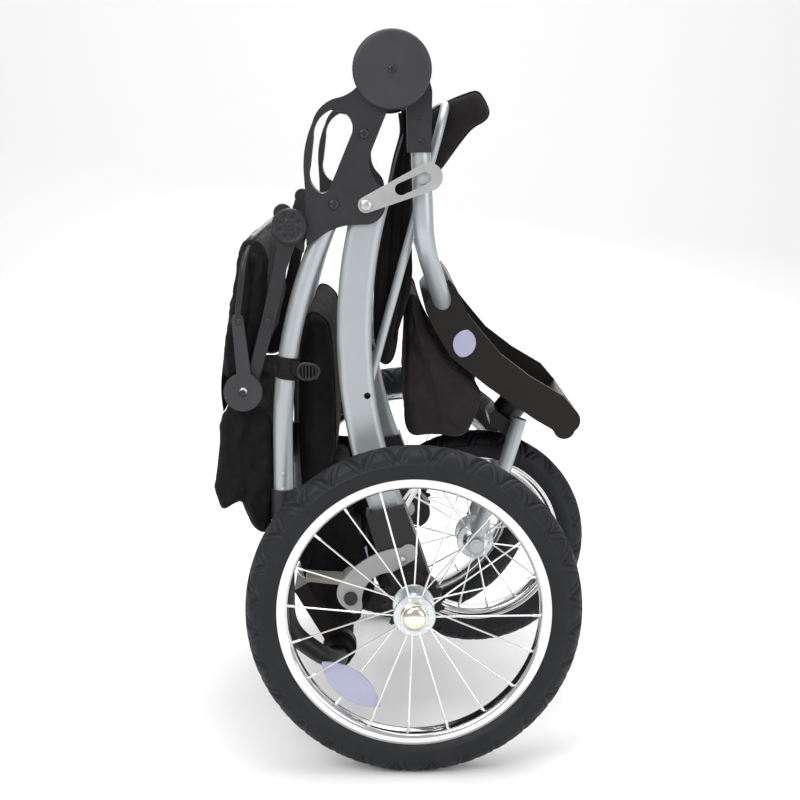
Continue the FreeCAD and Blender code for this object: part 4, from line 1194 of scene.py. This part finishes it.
@dataclass
class Canopy:
    """Folded sun canopy: hood, rear part and the gusset between them, with seams and hem."""

    half: float = 221.0

    def build(self) -> None:
        """Make the canopy's cloth."""
        creases = (Wrinkle(4.6, 74, 8, 1.0, 1.3, 1.6), Wrinkle(2.2, 31, -14, 1.4, 2.7, 1.3),
                   Wrinkle(0.6, 13, 20, 1.6, 0.6))
        drapes = (Wrinkle(5.5, 27, 80, 1.3, 0.9, 1.6), Wrinkle(2.0, 13, 66, 1.5, 2.1, 1.4))
        hood = SoftForm(
            [(-203, 629), (-210, 595), (-213, 574), (-217, 552), (-220.5, 538), (-226, 502), (-227, 476),
             (-225, 467), (-206, 470), (-191, 474), (-184, 500), (-178, 560), (-174, 600), (-178, 622),
             (-188, 632)],
            [(-189, 612), (-194, 560), (-203, 500), (-206, 482)], self.half, 9, 3, creases, drapes, rows=60)
        rear = SoftForm(
            [(-229, 426), (-232, 402), (-234, 385), (-237, 361), (-240, 334), (-236.5, 308), (-231, 303),
             (-221, 310), (-209, 315), (-205, 302), (-198.5, 288), (-184, 274), (-177, 279), (-175, 302),
             (-173, 340), (-171.5, 400), (-177, 426), (-190, 431), (-212, 431)],
            [(-203, 415), (-205, 390), (-207, 350), (-203, 325)], self.half, 9, 3, creases, drapes, rows=60)
        self._cloth("canopy_hood_cloth", hood, "canopy_bow", "canopy_hood")
        self._cloth("canopy_rear_cloth", rear, "canopy_base", "canopy_rear")
        self._gusset()

    def _cloth(self, name: str, form: SoftForm, body: str, node: str) -> None:
        """Make one part with its corded seams and stitching.

        Args:
            name: Name of the piece.
            form: Its form.
            body: Body that it rides on.
            node: CAD node that it replaces.
        """
        piece = make_piece(name, [form.surface()], CLOTH, body, (node,), 70)
        inset = form.half - form.edge - 1.5
        trim = [make_piece(name + "_piping", [form.piping(-inset), form.piping(inset)], CLOTH, body),
                make_piece(name + "_stitching",
                           [stitches(in_plane(form.line(), y)) for y in (-inset + 9, inset - 9)], THREAD,
                           body)]
        declare_cloth(piece, trim)

    def _gusset(self) -> None:
        """Strip of cloth that bends round the hinge, between the two parts."""
        path = in_plane(eased([(-230, 424), (-232.5, 446), (-231.5, 466), (-228.5, 488)], 3), 0.0)
        strip = band(path, (0.0, 1.0, 0.0), 2 * self.half - 24, 2.0)
        piece = make_piece("canopy_gusset", [strip], CLOTH, None)
        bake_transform(piece)


@dataclass
class FallingCloth:
    """Thin cloth spread between two falling edges, one on each side of the stroller."""

    name: str
    body: str
    away: float
    rear_edge: Pairs
    front_edge: Pairs
    rows: int
    columns: int

    def spread(self) -> tuple[Array, Array]:
        """Lay the cloth out flat, straight from edge to edge.

        Returns:
            The share of the way across, and the (x, z) place of each point.
        """
        rear, front = (spaced(eased(edge, 3), self.rows) for edge in (self.rear_edge, self.front_edge))
        share = np.linspace(0, 1, self.columns)[None, :, None]
        return share[..., 0], rear[:, None] * (1 - share) + front[:, None] * share

    def build(self, flat: Array, fold: Array) -> list[bpy.types.Object]:
        """Make both cloths, each point moved sideways by its fold.

        Args:
            flat: The (x, z) place of each point.
            fold: How far each point stands out.

        Returns:
            The two pieces.
        """
        pieces = []
        for side in Side:
            y = side.value * (self.away + fold)
            cloth = Surface(np.stack([flat[..., 0], y, flat[..., 1]], axis=2), ring=False)
            piece = make_piece(self.name + side.word, [cloth], CLOTH, self.body, (), 80)
            wall = piece.modifiers.new("ClothThickness", "SOLIDIFY")
            wall.thickness, wall.offset = CLOTH_THICK, 0.0
            pieces.append(piece)
        return pieces


@dataclass
class Seating:
    """Seat cushion, backrest, calf panel and basket."""

    def build(self) -> None:
        """Make the soft parts."""
        self._seat()
        self._back()
        self._calf()
        self._basket()

    @staticmethod
    def _edges(name: str, form: SoftForm, body: str) -> list:
        """Piping and a row of stitches near both ends of a form.

        Args:
            name: Name of the piece they trim.
            form: Its form.
            body: Body that they ride on.

        Returns:
            The two pieces.
        """
        y = form.half - form.edge - 1.5
        return [make_piece(name + "_piping", [form.piping(-y, 1.7, -0.5), form.piping(y, 1.7, -0.5)],
                           CLOTH, body),
                make_piece(name + "_stitching",
                           [stitches(in_plane(form.line() + inward(form.line()) * 0.6, side * (y - 7)))
                            for side in (-1, 1)], THREAD, body)]

    def _seat(self) -> None:
        """Long folded seat cushion, tacked in channels, and its gathered lining beside the frame."""
        form = SoftForm(
            [(-47, 560), (-45, 473), (-20, 473), (-15, 560), (-6, 630), (10, 688), (34, 712), (49, 733),
             (60, 748), (73, 764), (89, 772), (94, 780), (92, 789), (83, 805), (76, 808), (51, 798),
             (24, 784), (0, 766), (-11, 745), (-22, 702), (-37, 640)],
            [(-33, 490), (-31, 560), (-21, 630), (-4, 690), (20, 737), (50, 766), (80, 786)], 160, 12, 6,
            (Wrinkle(2.0, 66, 6, 1.2, 1.9, 1.4), Wrinkle(1.0, 24, -10, 1.4, 0.4)),
            (Wrinkle(3.4, 44, 24, 1.3, 1.1, 1.4), Wrinkle(1.4, 19, 50, 1.4, 0.5)), crown=2.0)
        pad = make_piece("seat_cushion", [form.surface()], WARM_CLOTH, "seat", ("seat_pad",), 80)
        Stuffing(5.0, rows=(530, 600, 668, 738), columns=(-146, -85, 0, 85, 146)).fill(pad)
        self._edges("seat_cushion", form, "seat")
        self._lining()

    @staticmethod
    def _lining() -> None:
        """Gathered side cloths of the seat, whose folds fall straight down."""
        cloth = FallingCloth(
            "seat_lining_", "seat", 176,
            [(-12.7, 784.5), (-9.1, 757), (-16.3, 737), (-24.8, 701), (-33.4, 659), (-38.3, 628),
             (-42.1, 601), (-45.9, 555), (-47.2, 532), (-46.5, 508)],
            [(2, 784), (1.0, 757), (0.5, 725), (-2, 677), (-1.0, 629), (0.5, 581), (-9, 544), (-20, 508)],
            120, 40)
        share, flat = cloth.spread()
        wave = np.sin(share * 15.0 + 0.02 * flat[..., 1]) * 2.0
        wave += np.sin(share * 33.0 + 0.05 * flat[..., 1] + 1.1) * 0.9
        for piece in cloth.build(flat, wave):
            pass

    def _back(self) -> None:
        """Backrest, folded behind the seat."""
        form = SoftForm(
            [(-139, 500), (-139, 321), (-128, 315), (-97, 332), (-94, 420), (-100, 523), (-106, 532),
             (-117, 541), (-129, 541)],
            [(-118, 335), (-116, 420), (-120, 525)], 186, 12, 5,
            (Wrinkle(2.0, 60, 0, 1.2, 0.7, 1.4), Wrinkle(0.9, 22, 12, 1.4, 1.2)),
            (Wrinkle(3.0, 30, 70, 1.4, 0.5, 1.6), Wrinkle(1.2, 13, 50, 1.4, 1.5)), crown=1.0)
        pad = make_piece("seat_backrest", [form.surface()], CLOTH, "handle_frame", ("seat_back",), 80)
        Stuffing(4.0, rows=(370, 430, 490), columns=(-172, -95, 0, 95, 172)).fill(pad)
        self._edges("seat_backrest", form, "handle_frame")

    def _calf(self) -> None:
        """Cloth from the seat to the footrest, hanging in folds."""
        form = SoftForm(
            [(-7, 556), (7, 556), (11, 537), (22, 508), (44, 473), (70, 452), (88, 437), (87, 415),
             (79, 397), (68, 373), (30, 380), (-8, 374), (-8, 440), (-4, 520)],
            [(1, 540), (8, 500), (30, 440), (42, 410)], 128, 8, 3,
            (Wrinkle(2.6, 58, 14, 1.2, 1.1, 1.5), Wrinkle(1.2, 23, -10, 1.4, 0.3)),
            (Wrinkle(5.0, 40, 62, 1.3, 0.8, 1.6), Wrinkle(1.8, 17, 74, 1.5, 1.6)))
        piece = make_piece("calf_cloth", [form.surface()], PANEL_CLOTH, "front_frame", ("calf_panel",), 70)
        declare_cloth(piece, self._edges("calf_cloth", form, "front_frame"))

    def _basket(self) -> None:
        """Folded storage basket, its loft sagging between its straps."""
        form = SoftForm(
            [(-135, 315), (-118, 309), (-84, 315), (-82, 252), (-88, 226), (-108, 219), (-129, 227),
             (-136, 260)],
            [(-109, 300), (-109, 240)], 138, 10, 4,
            (Wrinkle(3.6, 46, 4, 1.1, 1.6, 1.4), Wrinkle(1.3, 19, -12, 1.4, 0.8)),
            (Wrinkle(2.6, 26, 30, 1.4, 1.0, 1.4),), crown=-3.0)
        piece = make_piece("basket_cloth", [form.surface()], CLOTH, "rear_frame", ("storage_basket",), 70)
        declare_cloth(piece, self._edges("basket_cloth", form, "rear_frame"))
        self._flaps()

    @staticmethod
    def _flaps() -> None:
        """Loose sides of the basket, which fall past the console in soft folds."""
        cloth = FallingCloth(
            "basket_flap_", "rear_frame", 146,
            [(-136, 322), (-141, 290), (-147, 240), (-140, 205), (-127, 172), (-112, 150), (-100, 136)],
            [(-80, 322), (-74, 280), (-62, 240), (-50, 205), (-46, 180), (-58, 156), (-84, 138)], 110, 70)
        _, flat = cloth.spread()
        fold = Wrinkle(5.0, 34, 78, 1.3, 0.7, 1.6).height(flat[..., 1], flat[..., 0])
        fold += Wrinkle(2.2, 15, 62, 1.5, 1.9, 1.3).height(flat[..., 1], flat[..., 0])
        for piece in cloth.build(flat, fold):
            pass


@dataclass
class Straps:
    """Keeper strap with its buckle, and the basket's ring and loop."""

    def build(self) -> None:
        """Make the straps of both sides."""
        turn = np.linspace(0, 2 * math.pi, 48, endpoint=False)
        for side in Side:
            s = side.value
            basket_y, buckle_y = s * 143.0, s * 232.5
            lean = np.stack([np.cos(turn) * 13.4, np.sin(turn) * 13.4, np.cos(turn) * -2.0], axis=1)
            collar = band(lean + (-151.5, s * FRAME_SIDE, 479.5), (0.0, 0.0, 1.0), 27.0, 2.0, loop=True)
            tail = band(in_plane(eased([(-145, 481), (-134, 478), (-122, 476), (-113, 476)], 2), s * 231.0),
                        (0.0, 0.0, 1.0), 17.0, 2.4)
            make_piece("keeper_strap_" + side.word, [collar, tail], WEBBING, "handle_frame")
            frame_line = eased([(-137, 488), (-111, 483), (-115, 468), (-138, 467)], 2, closed=True)
            ribs = [slab([(x, 467), (x + 1.6, 467), (x + 1.6, 485), (x, 485)], *sorted((s * 232, s * 235.4)),
                         0.4) for x in np.arange(-133, -113, 4.0)]
            ring = pipe(in_plane(spaced(frame_line, 48, closed=True), buckle_y), 1.9, 12, loop=True)
            make_piece("keeper_buckle_" + side.word, [ring, *ribs], PLASTIC, "handle_frame")
            ring_path = np.stack([-133.4 + 11.5 * np.cos(turn), np.full(48, basket_y),
                                  206.6 + 11.5 * np.sin(turn)], axis=1)
            make_piece("basket_ring_" + side.word, [pipe(ring_path, 1.7, 12, loop=True)], STEEL, "rear_frame")
            loop = eased([(-112.9, 252), (-121.9, 234), (-131, 218), (-133.4, 214), (-128, 216), (-108, 222),
                          (-106.8, 238)], 3, closed=True)
            make_piece("basket_loop_" + side.word,
                       [band(in_plane(spaced(loop, 60, closed=True), basket_y), (0.0, 1.0, 0.0), 12.0, 1.6,
                             loop=True)], WEBBING, "rear_frame")


@dataclass
class Studio:
    """Floor that sweeps up behind, lights and camera, in metres and degrees."""

    lamps: tuple = (("key", (-1.5, -2.3, 2.3), 1.8, 62.0), ("fill", (2.1, -2.0, 1.3), 2.0, 26.0),
                    ("top", (0.1, 0.1, 2.8), 2.6, 62.0), ("back", (0.4, 2.2, 1.9), 2.0, 30.0))
    aim: tuple[float, float, float] = (0.0, 0.0, 0.45)
    eye: tuple[float, float, float] = (-0.0388, -2.041, 0.7625)
    pitch: float = 10.05
    yaw: float = 0.764
    lens: float = 68.9
    sky: float = 0.55

    def build(self) -> None:
        """Set the stage."""
        scene = bpy.context.scene
        self._floor()
        self._world(scene)
        for name, place, size, power in self.lamps:
            lamp = bpy.data.lights.new(name, "AREA")
            lamp.size, lamp.energy = size, power
            holder = bpy.data.objects.new(name + "_light", lamp)
            holder.location = place
            aim = np.array(self.aim) - place
            holder.rotation_euler = (math.acos(-aim[2] / np.linalg.norm(aim)), 0.0,
                                     math.atan2(aim[1], aim[0]) - math.pi / 2)
            scene.collection.objects.link(holder)
        camera = bpy.data.cameras.new("view")
        camera.lens, camera.sensor_width = self.lens, 36.0
        holder = bpy.data.objects.new("camera", camera)
        holder.location = self.eye
        holder.rotation_euler = (math.radians(90 - self.pitch), 0.0, math.radians(-self.yaw))
        scene.collection.objects.link(holder)
        scene.camera = holder
        scene.view_settings.view_transform = "Standard"

    @staticmethod
    def _floor() -> None:
        """Floor strip along y that rises behind the stroller in a quarter circle."""
        near, bend_start, radius, height, half_wide = -4.0, 2.2, 1.2, 5.0, 5.0
        shade, roughness = 0.86, 0.9
        bend = np.linspace(0, math.pi / 2, 24)[1:]
        y = np.concatenate([[near, bend_start], bend_start + radius * np.sin(bend), [bend_start + radius]])
        z = np.concatenate([[0.0, 0.0], radius - radius * np.cos(bend), [height]])
        x = np.array([-half_wide, half_wide])
        points = np.stack([np.broadcast_to(x[None], (len(y), 2)), np.repeat(y[:, None], 2, 1),
                           np.repeat(z[:, None], 2, 1)], axis=2)
        i = np.arange(len(y) - 1)
        faces = np.stack([2 * i, 2 * i + 1, 2 * i + 3, 2 * i + 2], axis=1)
        mesh = bpy.data.meshes.new("sweep")
        mesh.from_pydata(points.reshape(-1, 3), [], faces.tolist())
        mesh.polygons.foreach_set("use_smooth", np.ones(len(faces), bool))
        floor = bpy.data.objects.new("sweep", mesh)
        bpy.context.scene.collection.objects.link(floor)
        paint = bpy.data.materials.new("pale_sweep")
        paint.use_nodes = True
        shader = paint.node_tree.nodes["Principled BSDF"]
        shader.inputs["Base Color"].default_value = (shade, shade, shade, 1.0)
        shader.inputs["Roughness"].default_value = roughness
        mesh.materials.append(paint)

    def _world(self, scene: bpy.types.Scene) -> None:
        """Pale light from all round.

        Args:
            scene: The scene it lights.
        """
        world = bpy.data.worlds.new("studio")
        world.use_nodes = True
        background = world.node_tree.nodes["Background"]
        background.inputs["Color"].default_value = (1.0, 1.0, 1.0, 1.0)
        background.inputs["Strength"].default_value = self.sky
        scene.world = world


def dress_plain_nodes() -> None:
    """Give every CAD node that stays in view the finish of its slot."""
    for node in frame["nodes"].values():
        for place, material in enumerate(node.data.materials):
            node.data.materials[place] = BY_SLOT[material.name].material()


MOULDINGS = {
    **{f"side_bracket_{s.word}": (PLASTIC, 1.6) for s in Side},
    **{f"fold_disc_{s.word}": (DISC_PLASTIC, 1.2) for s in Side},
    **{f"front_sleeve_{s.word}": (PLASTIC, 2.0) for s in Side},
    **{f"leg_socket_{s.word}": (PLASTIC, 1.6) for s in Side},
    **{f"brake_rotor_{s.word}": (ROTOR, 0.4) for s in Side},
    **{f"spoke_reflector_{s.word}": (LENS, 0.8) for s in Side},
    "footrest": (TRAY, 2.2), "footrest_reflectors": (LENS, 0.6), "parent_console": (TRAY, 1.4),
    "brake_pedal": (PEDAL, 0.8), "brake_plates": (GREY_PLATE, 0.5), "canopy_ratchets": (PLASTIC, 1.0),
    "canopy_base_arms": (PLASTIC, 1.0), "canopy_bow_arms": (DISC_PLASTIC, 1.0), "tube_joints": (PLASTIC, 1.0),
    "handlebar_grip": (FOAM, 3.0), "steering_head": (BLACK_TUBE, 1.0), "fork_crown": (BLACK_TUBE, 1.0),
    "swivel_lock": (TRAY, 0.6), "transport_latch": (STEEL, 0.4), "fork_blades": (SILVER, 1.2),
}


def main() -> None:
    """Build the whole stroller and its stage."""
    logging.basicConfig(level=logging.INFO, format="%(message)s")
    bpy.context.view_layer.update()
    dress_plain_nodes()
    for side in Side:
        Wheel("rear_" + side.word, (0.0, side.value * WHEEL_SIDE, AXLE_Z), side.value).build()
    Wheel("front", (89.3, 0.0, 210.8), Side.RIGHT.value, outer=148.5, section=20.0, rim_low=99.5, spokes=16,
          turns=760, tread=Tread(repeats=21)).build()
    Moulding(MOULDINGS).build()
    for head in HEADS:
        head.build()
    RatchetDial().build()
    Canopy().build()
    Seating().build()
    Straps().build()
    Studio().build()
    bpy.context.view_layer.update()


if __name__ == "__main__":
    main()
